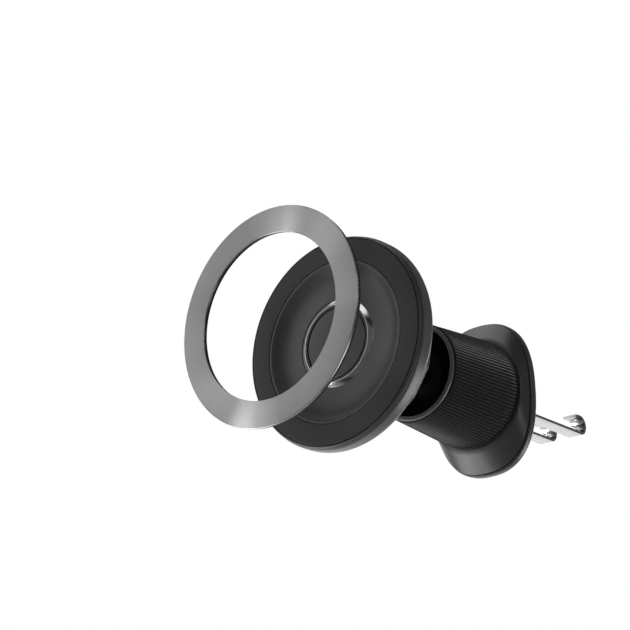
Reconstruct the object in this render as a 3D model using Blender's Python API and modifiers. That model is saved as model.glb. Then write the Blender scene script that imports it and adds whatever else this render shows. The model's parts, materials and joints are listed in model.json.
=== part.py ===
"""Car phone mount: a magnetic head on a ball joint, a ribbed clamp knob and a vent hook.

The origin is the centre of the vent face, the rear face of the rubber pad. +Y points into the
vent, +Z is up, and the phone side of the head faces -Y. Sizes are in millimetres and are turned
to metres when a mesh is made. Most pieces are turned about the Y axis, and their profiles are
lists of (radius, y).
"""

import math

import bmesh
import bpy
from mathutils import Matrix, Vector

MM = 0.001
GAP = 0.3  # left between pieces that touch
FINE_GAP = 0.15  # left between flat faces that rub
LARGE_SIDES = 32
MID_SIDES = 24
SMALL_SIDES = 12

# Accessory ring, stuck to the phone: it floats in front of the head
RING_OUTER_R = 30.4
RING_INNER_R = 23.0
RING_PLATE_T = 0.6
RING_BACKING_T = 0.6
RING_TO_FACE = 26.8  # from the ring's front face to the head's face

# Stations along the arm, as y
VENT_FACE_Y = 0.0
FACE_Y = -75.0  # front of the head's face
HEAD_WALL_END_Y = -69.4
CAP_REAR_Y = -60.0  # rear face of the head
KNOB_FRONT_Y = -39.0
KNOB_REAR_Y = -9.7
PLATE_FRONT_Y = -9.1
BALL_Y = -27.6

# Head
HEAD_R = 30.3
FACE_EDGE_R = 29.1
FACE_STEP_R = 23.2  # where the flat outer face meets the dished disc
DISH_DEPTH = 1.4
BADGE_R = 12.55
BEZEL_R = 30.05
CAP_R = 23.6
CAP_SIDES = 16
CAP_SCREW_CIRCLE_R = 16.5
CAP_SCREW_COUNT = 4
MAGNET_COUNT = 16
MAGNET_ARC_DEG = 20.0
MAGNET_INNER_R = 24.2
MAGNET_OUTER_R = 27.8
MAGNET_T = 2.4

# Ball joint
BALL_R = 8.5
SEAT_SPHERE_R = 8.85
SEAT_OUTER_R = 10.2
NECK_R = 6.05
NECK_THIN_R = 3.6

# Knob and the barrel that it turns on
MOUTH_R = 13.0
LIP_R = 14.35
KNOB_FRONT_R = 14.75
KNOB_REAR_R = 16.8
BARREL_R = 12.5
BARREL_TAIL_R = 10.6
BARREL_BORE_R = 9.0
NUT_INNER_R = 11.2
NUT_OUTER_R = 13.6

# Vent plate: a circle at the knob that flares to a tall rounded outline
SKIRT_FRONT_R = 17.2
RIM_HALF_WIDTH = 17.4
RIM_HALF_HEIGHT = 23.7
RIM_EXPONENT = 2.44
RIM_T = 2.3
PAD_T = 1.0
OUTLINE_POINTS = 40

# Hook: two bent spring steel strips
PRONG_X = 5.45  # centre of each strip from the middle
PRONG_W = 4.8
PRONG_T = 0.9
PRONG_Z = -2.8  # middle of the straight run
CURL_Y = 38.4  # centre of the curl
CURL_Z = -0.1
CURL_R = 2.7  # middle of the strip
CURL_LIP = 2.4  # straight end of the curl
PRONG_FOOT_Y = -5.25
PRONG_FOOT_TOP_Z = 3.3
CROSSHEAD_FRONT_Y = -7.7
CROSSHEAD_T = 1.8

SKIRT_SCREW_Z = 19.0
BARREL_SCREW_Z = 11.6


# ------------------------------------------------------------------ scene and helpers


def clear_scene():
    for obj in list(bpy.data.objects):
        bpy.data.objects.remove(obj, do_unlink=True)
    parts = bpy.data.collections.new("car_phone_mount")
    cutters = bpy.data.collections.new("cutters")
    for collection in (parts, cutters):
        bpy.context.scene.collection.children.link(collection)
    return parts, cutters


PARTS, CUTTERS = clear_scene()


def pivot(name, y=0.0, parent=None):
    """An empty on a joint's axis that carries one moving group."""
    empty = bpy.data.objects.new(name, None)
    empty.empty_display_size = 0.01
    PARTS.objects.link(empty)
    empty["station"] = y
    empty.location = (0, y * MM, 0)
    if parent:
        empty.parent = parent
        empty.location.y -= parent["station"] * MM
    return empty


def colour_of(hex_code):
    """An sRGB hex code as linear RGBA."""
    channels = [int(hex_code[i : i + 2], 16) / 255 for i in (0, 2, 4)]
    linear = [c / 12.92 if c <= 0.04045 else ((c + 0.055) / 1.055) ** 2.4 for c in channels]
    return (*linear, 1.0)


def finish(obj, hex_code, roughness, metallic=0.0):
    material = bpy.data.materials.new(obj.name + "_finish")
    material.use_nodes = True
    shader = material.node_tree.nodes["Principled BSDF"]
    shader.inputs["Base Color"].default_value = colour_of(hex_code)
    shader.inputs["Roughness"].default_value = roughness
    shader.inputs["Metallic"].default_value = metallic
    obj.data.materials.clear()
    obj.data.materials.append(material)
    return obj


def carry(obj, carrier):
    """Parents a piece, whose place is given from the origin, to its group's pivot."""
    obj.parent = carrier
    obj.location.y -= carrier["station"] * MM
    return obj


def turned(name, profile, carrier, sides=LARGE_SIDES, closed=True, at=(0, 0)):
    """A piece turned about the line through (x, z) = at, along Y.

    The profile runs along the outer side from the rear to the front and back along the inner
    side. An open profile starts and ends on the axis.
    """
    mesh = bpy.data.meshes.new(name)
    points = [(r * MM, 0, y * MM) for r, y in profile]
    edges = [(i, i + 1) for i in range(len(points) - 1)]
    if closed:
        edges.append((len(points) - 1, 0))
    mesh.from_pydata(points, edges, [])
    obj = bpy.data.objects.new(name, mesh)
    PARTS.objects.link(obj)
    obj.rotation_euler.x = -math.pi / 2
    obj.location = (at[0] * MM, 0, at[1] * MM)
    screw = obj.modifiers.new("Turn", "SCREW")
    screw.axis = "Z"
    screw.steps = screw.render_steps = sides
    screw.use_merge_vertices = True
    screw.merge_threshold = 1e-6
    screw.use_smooth_shade = True
    if not closed:
        weld = obj.modifiers.new("Close the poles", "WELD")
        weld.merge_threshold = 1e-6
    if carrier:
        carry(obj, carrier)
    return obj


def annulus(inner_r, outer_r, front_y, rear_y):
    return [(outer_r, rear_y), (outer_r, front_y), (inner_r, front_y), (inner_r, rear_y)]


def superellipse(half_width, half_height, exponent, y, count=OUTLINE_POINTS):
    """Points round a rounded outline in the plane y, starting at +X and turning towards +Z."""
    points = []
    for i in range(count):
        angle = 2 * math.pi * i / count
        c, s = math.cos(angle), math.sin(angle)
        reach = (abs(c) ** exponent + abs(s) ** exponent) ** (-1 / exponent)
        points.append(Vector((half_width * reach * c, y, half_height * reach * s)) * MM)
    return points


def lofted(name, sections, carrier, capped):
    """Joins outlines with equal counts. Capped, or closed on itself like a tube's wall."""
    bm = bmesh.new()
    rings = [[bm.verts.new(p) for p in section] for section in sections]
    count = len(rings[0])
    pairs = list(zip(rings, rings[1:]))
    if not capped:
        pairs.append((rings[-1], rings[0]))
    for low, high in pairs:
        for i in range(count):
            j = (i + 1) % count
            bm.faces.new((low[i], high[i], high[j], low[j]))
    if capped:
        bm.faces.new(rings[0])
        bm.faces.new(rings[-1][::-1])
    bmesh.ops.recalc_face_normals(bm, faces=bm.faces)
    mesh = bpy.data.meshes.new(name)
    bm.to_mesh(mesh)
    bm.free()
    mesh.shade_smooth()
    mesh.set_sharp_from_angle(angle=math.radians(30))
    obj = bpy.data.objects.new(name, mesh)
    PARTS.objects.link(obj)
    return carry(obj, carrier)


def flat_outline(name, outline, thickness):
    """A flat piece as a filled 2D curve, in its own XY plane, centred on it along Z."""
    curve = bpy.data.curves.new(name, "CURVE")
    curve.dimensions = "2D"
    curve.fill_mode = "BOTH"
    curve.extrude = thickness * MM / 2
    spline = curve.splines.new("POLY")
    spline.points.add(len(outline) - 1)
    for point, (x, y) in zip(spline.points, outline):
        point.co = (x * MM, y * MM, 0, 1)
    spline.use_cyclic_u = True
    obj = bpy.data.objects.new(name, curve)
    PARTS.objects.link(obj)
    return obj


def as_mesh(obj):
    """Replaces a curve by a mesh whose caps are welded, so that it can be cut."""
    bpy.context.view_layer.update()
    evaluated = obj.evaluated_get(bpy.context.evaluated_depsgraph_get())
    mesh = bpy.data.meshes.new_from_object(evaluated)
    bm = bmesh.new()
    bm.from_mesh(mesh)
    bmesh.ops.remove_doubles(bm, verts=bm.verts, dist=1e-6)
    bm.to_mesh(mesh)
    bm.free()
    name, place = obj.name, obj.matrix_world.copy()
    bpy.data.objects.remove(obj, do_unlink=True)
    solid = bpy.data.objects.new(name, mesh)
    PARTS.objects.link(solid)
    solid.matrix_world = place
    return solid


def as_cutter(obj):
    for collection in list(obj.users_collection):
        collection.objects.unlink(obj)
    CUTTERS.objects.link(obj)
    obj.hide_render = True
    obj.display_type = "WIRE"
    return obj


def rod(name, radius, front_y, rear_y, x, z, sides=SMALL_SIDES):
    """A plain cylinder along Y that cuts or joins another piece."""
    bpy.ops.mesh.primitive_cylinder_add(
        vertices=sides,
        radius=radius * MM,
        depth=(rear_y - front_y) * MM,
        location=(x * MM, (front_y + rear_y) / 2 * MM, z * MM),
        rotation=(math.pi / 2, 0, 0),
    )
    obj = bpy.context.active_object
    obj.name = name
    return as_cutter(obj)


def block(name, low, high):
    """A plain box that cuts another piece."""
    centre = [(a + b) / 2 * MM for a, b in zip(low, high)]
    bpy.ops.mesh.primitive_cube_add(size=1, location=centre)
    obj = bpy.context.active_object
    obj.name = name
    size = Vector([(b - a) * MM for a, b in zip(low, high)])
    obj.data.transform(Matrix.Diagonal((*size, 1)))
    return as_cutter(obj)


def combine(obj, tool, operation="DIFFERENCE"):
    boolean = obj.modifiers.new(tool.name, "BOOLEAN")
    boolean.solver = "EXACT"
    boolean.operation = operation
    boolean.object = tool
    return obj


def on_circle(radius, count, start_deg=0.0):
    for i in range(count):
        angle = math.radians(start_deg + 360 * i / count)
        yield radius * math.cos(angle), radius * math.sin(angle)


def sphere_arc(radius, from_deg, to_deg, steps):
    """Points of a sphere about the ball's centre, by angle from the rear pole."""
    for i in range(steps + 1):
        angle = math.radians(from_deg + (to_deg - from_deg) * i / steps)
        yield radius * math.sin(angle), BALL_Y + radius * math.cos(angle)


# ------------------------------------------------------------------ accessory ring


def make_ring(carrier):
    front = FACE_Y - RING_TO_FACE
    plate_rear = front + RING_PLATE_T
    backing_front = plate_rear + GAP
    plate = turned("ring_plate", annulus(RING_INNER_R, RING_OUTER_R, front, plate_rear), carrier)
    finish(plate, "8f9191", 0.35, 1.0)
    profile = annulus(
        RING_INNER_R + GAP, RING_OUTER_R - GAP, backing_front, backing_front + RING_BACKING_T
    )
    finish(turned("ring_backing", profile, carrier), "0d0d0d", 0.8)


# ------------------------------------------------------------------ head


def make_face(carrier):
    """The soft face, the dished disc inside it and the round badge in the middle."""
    step, ledge_r = FACE_Y + 0.35, 27.1
    pad = [
        (FACE_EDGE_R, step),
        (FACE_EDGE_R, FACE_Y),
        (FACE_STEP_R + 0.1, FACE_Y),
        (FACE_STEP_R + 0.1, FACE_Y + 1.0),
        (ledge_r, FACE_Y + 1.0),
        (ledge_r, step),
    ]
    finish(turned("face_pad", pad, carrier), "333333", 0.6)

    disc_r, floor = FACE_STEP_R - 0.2, FACE_Y + DISH_DEPTH
    pocket_r = BADGE_R + GAP
    disc = [
        (0, floor + 0.9),
        (disc_r, floor + 0.9),
        (disc_r, FACE_Y + 0.15),
        (disc_r - 0.6, FACE_Y + 0.15),
        (17.5, floor - 0.55),
        (pocket_r, floor - 0.1),
        (pocket_r, floor + 0.5),
        (0, floor + 0.5),
    ]
    finish(turned("face_disc", disc, carrier, closed=False), "444444", 0.4)

    top = floor - 0.75
    ring = [
        (BADGE_R, floor + 0.2),
        (BADGE_R, floor - 0.2),
        (BADGE_R - 0.75, top),
        (BADGE_R - 1.25, top),
        (BADGE_R - 1.55, floor + 0.2),
    ]
    finish(turned("badge_ring", ring, carrier), "c9c9c9", 0.08, 1.0)

    badge_r = BADGE_R - 1.85
    badge = [(0, floor + 0.2), (badge_r, floor + 0.2), (badge_r, floor - 0.5), (0, floor - 0.5)]
    finish(turned("badge_disc", badge, carrier, closed=False), "424242", 0.45)


def make_front_shell(carrier):
    """Carries the face, closes the magnet channel and has the posts that the screws enter."""
    y = FACE_Y + DISH_DEPTH
    step_r = FACE_STEP_R + 0.1
    profile = [
        (0, y + 2.2),
        (step_r + 0.6, y + 2.2),
        (step_r + 0.6, y + 0.9),
        (28.15, y + 0.9),
        (28.15, y + 3.0),
        (28.75, y + 3.0),
        (28.75, y - 0.35),
        (BEZEL_R, y - 0.35),
        (BEZEL_R, y - 0.6),
        (BEZEL_R - 0.45, y - 1.25),
        (FACE_EDGE_R + GAP, y - 1.25),
        (FACE_EDGE_R + GAP, y - 0.75),
        (27.4, y - 0.75),
        (27.4, y - 0.1),
        (step_r, y - 0.1),
        (step_r, y + 1.2),
        (0, y + 1.2),
    ]
    shell = turned("front_shell", profile, carrier, closed=False)
    post_rear = CAP_REAR_Y - 2.5
    for i, (x, z) in enumerate(on_circle(CAP_SCREW_CIRCLE_R, CAP_SCREW_COUNT, 45)):
        combine(shell, rod(f"post_{i}", 2.6, y + 1.7, post_rear, x, z), "UNION")
        combine(shell, rod(f"post_bore_{i}", 1.45, y + 3.0, post_rear + 1, x, z))
    finish(shell, "262626", 0.5)


def make_magnets(carrier):
    """An array of arc magnets with alternate gaps, and the steel yoke behind them."""
    front = FACE_Y + DISH_DEPTH + 1.2
    half, steps = math.radians(MAGNET_ARC_DEG / 2), 4
    outline = []
    for radius, sign in ((MAGNET_OUTER_R, 1), (MAGNET_INNER_R, -1)):
        for i in range(steps + 1):
            angle = sign * (-half + 2 * half * i / steps)
            outline.append((radius * math.cos(angle), radius * math.sin(angle)))
    shape = None
    for i in range(MAGNET_COUNT):
        name = f"magnet_{i + 1:02d}"
        if shape is None:
            magnet = flat_outline(name, outline, MAGNET_T)
            shape = magnet.data
            finish(magnet, "b8b8ba", 0.25, 1.0)
        else:
            magnet = bpy.data.objects.new(name, shape)
            PARTS.objects.link(magnet)
        spin = 2 * math.pi * i / MAGNET_COUNT
        magnet.rotation_euler = (math.pi / 2, spin, 0)
        magnet.location = (0, (front + MAGNET_T / 2) * MM, 0)
        carry(magnet, carrier)
    yoke_front = front + MAGNET_T + GAP
    yoke = annulus(MAGNET_INNER_R, MAGNET_OUTER_R - 0.3, yoke_front, yoke_front + 0.8)
    finish(turned("steel_yoke", yoke, carrier), "7c7e80", 0.4, 1.0)


def make_rear_shell(carrier):
    """The side wall and sloping back, and the sixteen-sided cap on its middle."""
    y = FACE_Y + DISH_DEPTH
    profile = [
        (21.5, y + 8.6),
        (22.5, y + 8.4),
        (28.6, y + 5.3),
        (HEAD_R - 0.5, HEAD_WALL_END_Y),
        (HEAD_R, y + 3.3),
        (HEAD_R, y + 0.2),
        (HEAD_R - 0.2, y - 0.1),
        (29.05, y - 0.1),
        (29.05, y + 3.4),
        (28.0, y + 5.0),
        (21.5, y + 7.2),
    ]
    finish(turned("rear_shell", profile, carrier), "4a4a4a", 0.4)

    bore_r, wall = 8.6, 2.2
    cap_front = y + 8.9
    cap_profile = [
        (bore_r, CAP_REAR_Y),
        (CAP_R - 0.8, CAP_REAR_Y),
        (CAP_R, CAP_REAR_Y - 1.0),
        (CAP_R, cap_front),
        (CAP_R - 1.7, cap_front),
        (CAP_R - 1.7, CAP_REAR_Y - wall),
        (bore_r, CAP_REAR_Y - wall),
    ]
    cap = turned("rear_cap", cap_profile, carrier, sides=CAP_SIDES)
    for i, (x, z) in enumerate(on_circle(CAP_SCREW_CIRCLE_R, CAP_SCREW_COUNT, 45)):
        combine(cap, rod(f"cap_hole_{i}", 1.45, CAP_REAR_Y - 3, CAP_REAR_Y + 1, x, z))
        combine(cap, rod(f"cap_sink_{i}", 2.8, CAP_REAR_Y - 1.2, CAP_REAR_Y + 1, x, z))
        screw = screw_profile(CAP_REAR_Y - 0.1, 2.5, 0.8, 1.1, 9.0)
        piece = turned(
            f"cap_screw_{i + 1}", screw, carrier, sides=SMALL_SIDES, closed=False, at=(x, z)
        )
        finish(piece, "3a3a3c", 0.3, 1.0)
    finish(cap, "3a3a3a", 0.45)


def screw_profile(top_y, head_r, head_t, shank_r, length):
    """A pan head at the rear and a shank that runs towards -Y."""
    seat = top_y - head_t
    return [
        (0, top_y),
        (head_r, top_y),
        (head_r, seat),
        (shank_r, seat),
        (shank_r, seat - length),
        (0, seat - length),
    ]


def make_spin_bearing(carrier):
    """The acetal bush that the neck turns in and the friction washer behind the flange."""
    bush_rear = CAP_REAR_Y + 0.3
    flange_rear = CAP_REAR_Y - 2.5
    bush = [
        (8.1, bush_rear),
        (8.1, flange_rear),
        (10.4, flange_rear),
        (10.4, flange_rear - 1.0),
        (NECK_R + 0.35, flange_rear - 1.0),
        (NECK_R + 0.35, bush_rear),
    ]
    finish(turned("spin_bush", bush, carrier, MID_SIDES), "d8d4c8", 0.5)
    washer_rear = flange_rear - 1.0 - GAP
    washer = annulus(NECK_R + 0.45, 10.2, washer_rear - 0.5, washer_rear)
    finish(turned("spin_washer", washer, carrier, MID_SIDES), "1c1c1c", 0.7)


# ------------------------------------------------------------------ ball joint


def make_ball_stud(carrier):
    """Ball, neck and shoulder in one turned piece, with the flange and screw inside the head."""
    shoulder = CAP_REAR_Y + 0.6
    end = CAP_REAR_Y - 4.3
    bore_end = end + 7.2
    thin_deg = 180 - math.degrees(math.asin(NECK_THIN_R / BALL_R))
    profile = list(sphere_arc(BALL_R, 0, thin_deg, 8))
    profile[0] = (0, BALL_Y + BALL_R)
    profile += [
        (NECK_R, BALL_Y - 15.0),
        (NECK_R, shoulder + 2.8),
        (8.4, shoulder + 1.8),
        (8.4, shoulder),
        (NECK_R, shoulder),
        (NECK_R, end),
        (1.9, end),
        (1.9, bore_end),
        (0, bore_end),
    ]
    stud = turned("ball_stud", profile, carrier, MID_SIDES, closed=False)
    finish(stud, "141414", 0.35)

    flange_rear = end - GAP
    flange = annulus(1.9, 10.0, flange_rear - 1.5, flange_rear)
    finish(turned("stem_flange", flange, carrier, MID_SIDES), "8a8c8e", 0.35, 1.0)
    head_rear = flange_rear - 1.5 - GAP
    screw = [
        (0, bore_end - 0.6),
        (1.5, bore_end - 0.6),
        (1.5, head_rear),
        (3.2, head_rear),
        (3.2, head_rear - 1.3),
        (0, head_rear - 1.3),
    ]
    piece = turned("stem_screw", screw, carrier, SMALL_SIDES, closed=False)
    finish(piece, "3a3a3c", 0.3, 1.0)


def make_seat(carrier):
    """The two halves of the socket, split at the ball's middle."""
    front_y, split = BALL_Y - 4.8, 0.2

    def inside(offset):
        return math.sqrt(SEAT_SPHERE_R**2 - offset**2), BALL_Y + offset

    front_half = [
        (SEAT_OUTER_R, BALL_Y - split),
        (SEAT_OUTER_R, front_y),
        inside(-4.8),
        inside(-2.5),
        inside(-split),
    ]
    finish(turned("seat_front", front_half, carrier, MID_SIDES), "121212", 0.55)
    rear_y = BALL_Y + 8.8
    rear_half = [
        (SEAT_OUTER_R, rear_y),
        (SEAT_OUTER_R, BALL_Y + split),
        inside(split),
        inside(3.8),
        inside(6.3),
        inside(7.9),
        (inside(7.9)[0], rear_y),
    ]
    finish(turned("seat_rear", rear_half, carrier, MID_SIDES), "121212", 0.55)


# ------------------------------------------------------------------ barrel and vent plate


def make_barrel(carrier):
    """The tube that holds the ball seat, with slots for the crosshead's ears."""
    front = BALL_Y - 4.9
    shoulder = BALL_Y + 9.75
    step = BALL_Y + 10.9
    flange_front = -5.6
    rear = flange_front + 1.7
    profile = [
        (13.3, rear),
        (13.3, flange_front),
        (BARREL_TAIL_R, flange_front),
        (BARREL_TAIL_R, step),
        (BARREL_R, step),
        (BARREL_R, front),
        (BARREL_TAIL_R, front),
        (BARREL_TAIL_R, shoulder),
        (BARREL_BORE_R, shoulder),
        (BARREL_BORE_R, rear),
    ]
    barrel = turned("barrel", profile, carrier)
    slot_half = 2.85
    for side, label in ((-1, "left"), (1, "right")):
        inner, outer = sorted((side * 7.0, side * 12.0))
        low = (inner, step + 0.2, -slot_half)
        high = (outer, flange_front - 0.2, slot_half)
        combine(barrel, block(f"slot_{label}", low, high))
        hole = rod(f"barrel_hole_{label}", 1.45, -6.4, rear + 1, 0, side * BARREL_SCREW_Z)
        combine(barrel, hole)
    finish(barrel, "1e1e1e", 0.5)

    retainer_rear = front - GAP
    retainer = annulus(8.6, BARREL_R, retainer_rear - 1.4, retainer_rear)
    finish(turned("seat_retainer", retainer, carrier), "101010", 0.5)
    spring_front = BALL_Y + 9.05
    spring = annulus(5.0, 9.8, spring_front, spring_front + 0.4)
    finish(turned("seat_spring", spring, carrier, MID_SIDES), "8a8c8e", 0.3, 1.0)


def outline_at(y, share, inset=0.0):
    """The skirt's outline: share runs from 0, the circle at the knob, to 1, the full rim."""
    width = SKIRT_FRONT_R + (RIM_HALF_WIDTH - 0.4 - SKIRT_FRONT_R) * share - inset
    height = SKIRT_FRONT_R + (RIM_HALF_HEIGHT - 0.5 - SKIRT_FRONT_R) * share - inset
    exponent = 2 + (RIM_EXPONENT - 2) * share
    return superellipse(width, height, exponent, y)


def make_vent_plate(carrier):
    """The flared skirt with its two bosses, open at the back."""
    front, rear = PLATE_FRONT_Y, VENT_FACE_Y - PAD_T - GAP - RIM_T - GAP
    web = front + 1.6
    hole_r = 14.4
    full = rear - 0.5

    def share(y):
        return (y - front) / (full - front)

    middle = (front + full) / 2
    sections = [
        outline_at(front, 0),
        outline_at(middle, share(middle)),
        outline_at(full, 1),
        outline_at(rear, 1, 0.35),
        outline_at(rear, 1, 1.8),
        outline_at(middle + 1.2, share(middle), 1.8),
        outline_at(web, share(web), 2.0),
        superellipse(hole_r, hole_r, 2, web),
        superellipse(hole_r, hole_r, 2, front),
    ]
    plate = lofted("vent_plate", sections, carrier, capped=False)
    for side, label in ((-1, "low"), (1, "high")):
        z = side * SKIRT_SCREW_Z
        boss = rod(f"boss_{label}", 2.4, rear - 1.9, rear, 0, z)
        combine(plate, boss, "UNION")
        combine(plate, rod(f"boss_bore_{label}", 1.45, rear - 1.4, rear + 1, 0, z))
    finish(plate, "4c4c4c", 0.42)


def rim_outline(y, inset):
    width, height = RIM_HALF_WIDTH - inset, RIM_HALF_HEIGHT - inset
    return superellipse(width, height, RIM_EXPONENT, y)


def cut_windows(obj, front_y, rear_y, margin):
    """One window for each strip of the hook."""
    for side, label in ((-1, "left"), (1, "right")):
        half = PRONG_W / 2 + margin
        x = side * PRONG_X
        low = (x - half, front_y - 1, -3.35 - margin)
        high = (x + half, rear_y + 1, 3.35 + margin)
        combine(obj, block(f"{obj.name}_window_{label}", low, high))


def make_back(carrier):
    """The rim plate, the rubber pad on it and the four screws."""
    rear = VENT_FACE_Y - PAD_T - GAP
    front = rear - RIM_T
    edge = 0.35
    sections = [
        rim_outline(front, edge),
        rim_outline(front + edge, 0),
        rim_outline(rear - edge, 0),
        rim_outline(rear, edge),
    ]
    plate = lofted("back_plate", sections, carrier, capped=True)
    cut_windows(plate, front, rear, 0.4)
    pad_front = VENT_FACE_Y - PAD_T
    pad_sections = [rim_outline(pad_front, 1.2), rim_outline(VENT_FACE_Y, 1.2)]
    pad = lofted("vent_pad", pad_sections, carrier, capped=True)
    cut_windows(pad, pad_front, VENT_FACE_Y, 0.6)
    heights = (-SKIRT_SCREW_Z, -BARREL_SCREW_Z, BARREL_SCREW_Z, SKIRT_SCREW_Z)
    for i, z in enumerate(heights):
        combine(plate, rod(f"plate_hole_{i}", 1.45, front - 1, rear + 1, 0, z))
        combine(plate, rod(f"plate_sink_{i}", 2.7, rear - 1.1, rear + 1, 0, z))
        combine(pad, rod(f"pad_hole_{i}", 2.9, pad_front - 1, VENT_FACE_Y + 1, 0, z))
        length = 3.0 if abs(z) == BARREL_SCREW_Z else 2.6
        screw = screw_profile(rear - 0.1, 2.3, 0.7, 1.1, length)
        piece = turned(f"base_screw_{i + 1}", screw, carrier, SMALL_SIDES, False, at=(0, z))
        finish(piece, "3a3a3c", 0.3, 1.0)
    finish(plate, "454545", 0.42)
    finish(pad, "101010", 0.85)


# ------------------------------------------------------------------ knob


def make_knob(carrier):
    """The sleeve that the hand turns, its front lip, the nut inside and the slip washer."""
    sleeve_front = KNOB_FRONT_Y + 0.8
    spigot_end = KNOB_FRONT_Y + 4.0
    nut_front = BALL_Y + 11.2
    sleeve = [
        (KNOB_REAR_R - 0.4, KNOB_REAR_Y),
        (KNOB_REAR_R, KNOB_REAR_Y - 0.4),
        (KNOB_FRONT_R, sleeve_front),
        (13.9, sleeve_front),
        (13.9, spigot_end + GAP),
        (MOUTH_R - 0.05, spigot_end + GAP),
        (MOUTH_R - 0.05, nut_front - GAP),
        (NUT_OUTER_R + 0.35, nut_front - GAP),
        (NUT_OUTER_R + 0.35, KNOB_REAR_Y),
    ]
    finish(turned("knob_sleeve", sleeve, carrier), "303030", 0.6)
    lip_rear = sleeve_front - GAP
    lip = [
        (LIP_R, lip_rear),
        (LIP_R, KNOB_FRONT_Y + 0.25),
        (LIP_R - 0.4, KNOB_FRONT_Y),
        (MOUTH_R + 0.4, KNOB_FRONT_Y),
        (MOUTH_R, KNOB_FRONT_Y + 0.45),
        (MOUTH_R, spigot_end),
        (MOUTH_R + 0.6, spigot_end),
        (MOUTH_R + 0.6, lip_rear),
    ]
    finish(turned("knob_lip", lip, carrier), "4e4e4e", 0.4)
    nut = annulus(NUT_INNER_R, NUT_OUTER_R, nut_front, -5.9)
    finish(turned("knob_nut", nut, carrier), "b59a5a", 0.35, 1.0)
    washer_front = KNOB_REAR_Y + FINE_GAP
    washer = annulus(14.9, KNOB_REAR_R - 0.4, washer_front, PLATE_FRONT_Y - FINE_GAP)
    finish(turned("slip_washer", washer, carrier), "0c0c0c", 0.6)


# ------------------------------------------------------------------ hook


def crosshead_outline():
    """A round plate with a slightly tapered ear on each side."""
    disc_r, ear_half, ear_r = 8.6, 2.5, 10.85
    tip_half = ear_half - 0.2
    start = math.asin(ear_half / disc_r)
    points = []
    for side in (0, math.pi):
        points += [
            (math.cos(side) * ear_r, -math.cos(side) * tip_half),
            (math.cos(side) * ear_r, math.cos(side) * tip_half),
        ]
        steps = 8
        for i in range(steps + 1):
            angle = side + start + (math.pi - 2 * start) * i / steps
            points.append((disc_r * math.cos(angle), disc_r * math.sin(angle)))
    return points


def prong_path():
    """The middle line of a strip as (y, z): foot, straight run, half-round curl and lip."""
    bend, steps = 1.2, 3
    points = [(PRONG_FOOT_Y, PRONG_FOOT_TOP_Z)]
    for i in range(steps + 1):
        angle = math.radians(180 + 90 * i / steps)
        points.append(
            (
                PRONG_FOOT_Y + bend + bend * math.cos(angle),
                PRONG_Z + bend + bend * math.sin(angle),
            )
        )
    curl_steps = 8
    for i in range(curl_steps + 1):
        angle = math.radians(-90 + 180 * i / curl_steps)
        points.append((CURL_Y + CURL_R * math.cos(angle), CURL_Z + CURL_R * math.sin(angle)))
    points.append((CURL_Y - CURL_LIP, CURL_Z + CURL_R - 0.1))
    return points


def thickened(path, thickness):
    """The closed outline of a strip that follows a path."""
    left, right = [], []
    for i, point in enumerate(path):
        before, after = path[max(i - 1, 0)], path[min(i + 1, len(path) - 1)]
        along = Vector((after[0] - before[0], after[1] - before[1])).normalized()
        across = Vector((-along.y, along.x)) * thickness / 2
        left.append((point[0] + across.x, point[1] + across.y))
        right.append((point[0] - across.x, point[1] - across.y))
    return left + right[::-1]


def make_hook(carrier):
    crosshead = flat_outline("crosshead", crosshead_outline(), CROSSHEAD_T)
    crosshead.rotation_euler.x = math.pi / 2
    crosshead.location.y = (CROSSHEAD_FRONT_Y + CROSSHEAD_T / 2) * MM
    crosshead = as_mesh(crosshead)
    outline = thickened(prong_path(), PRONG_T)
    rivet_z = 0.7
    foot_rear = PRONG_FOOT_Y + PRONG_T / 2
    for side, label in ((-1, "left"), (1, "right")):
        x = side * PRONG_X
        hole = rod(f"rivet_hole_{label}", 1.2, CROSSHEAD_FRONT_Y - 1, foot_rear + 0.6, x, rivet_z)
        combine(crosshead, hole)
        prong = flat_outline(f"prong_{label}", outline, PRONG_W)
        prong.rotation_euler = (math.pi / 2, 0, math.pi / 2)
        prong.location.x = x * MM
        prong = as_mesh(prong)
        combine(prong, hole)
        carry(prong, carrier)
        finish(prong, "d2d2d2", 0.25, 1.0)
        front, rear = CROSSHEAD_FRONT_Y - 0.9, foot_rear + 0.7
        rivet = [
            (0, rear),
            (1.7, rear),
            (1.7, foot_rear + 0.2),
            (0.9, foot_rear + 0.2),
            (0.9, CROSSHEAD_FRONT_Y - 0.2),
            (1.7, CROSSHEAD_FRONT_Y - 0.2),
            (1.7, front),
            (0, front),
        ]
        piece = turned(f"rivet_{label}", rivet, carrier, SMALL_SIDES, False, at=(x, rivet_z))
        finish(piece, "a8a8aa", 0.3, 1.0)
    carry(crosshead, carrier)
    finish(crosshead, "9a9c9e", 0.4, 1.0)


# ------------------------------------------------------------------ assembly


def main():
    base = pivot("base_pivot")
    knob = pivot("knob_pivot", KNOB_REAR_Y, base)
    hook = pivot("hook_pivot", CROSSHEAD_FRONT_Y, base)
    seat = pivot("seat_pivot", BALL_Y, base)
    stem = pivot("stem_pivot", BALL_Y, seat)
    head = pivot("head_pivot", CAP_REAR_Y, stem)
    ring = pivot("ring_pivot", FACE_Y - RING_TO_FACE, head)
    make_ring(ring)
    make_face(head)
    make_front_shell(head)
    make_magnets(head)
    make_rear_shell(head)
    make_spin_bearing(head)
    make_ball_stud(stem)
    make_seat(seat)
    make_barrel(base)
    make_vent_plate(base)
    make_back(base)
    make_knob(knob)
    make_hook(hook)


main()
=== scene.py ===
"""Builds the looks of a magnetic car phone mount around its fixed frame.

The frame gives every place and size along the arm. +Y points into the vent, +Z is up and the
phone side faces -Y. Lengths are metres; MM turns a millimetre into metres.
"""

import json
import math

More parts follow.
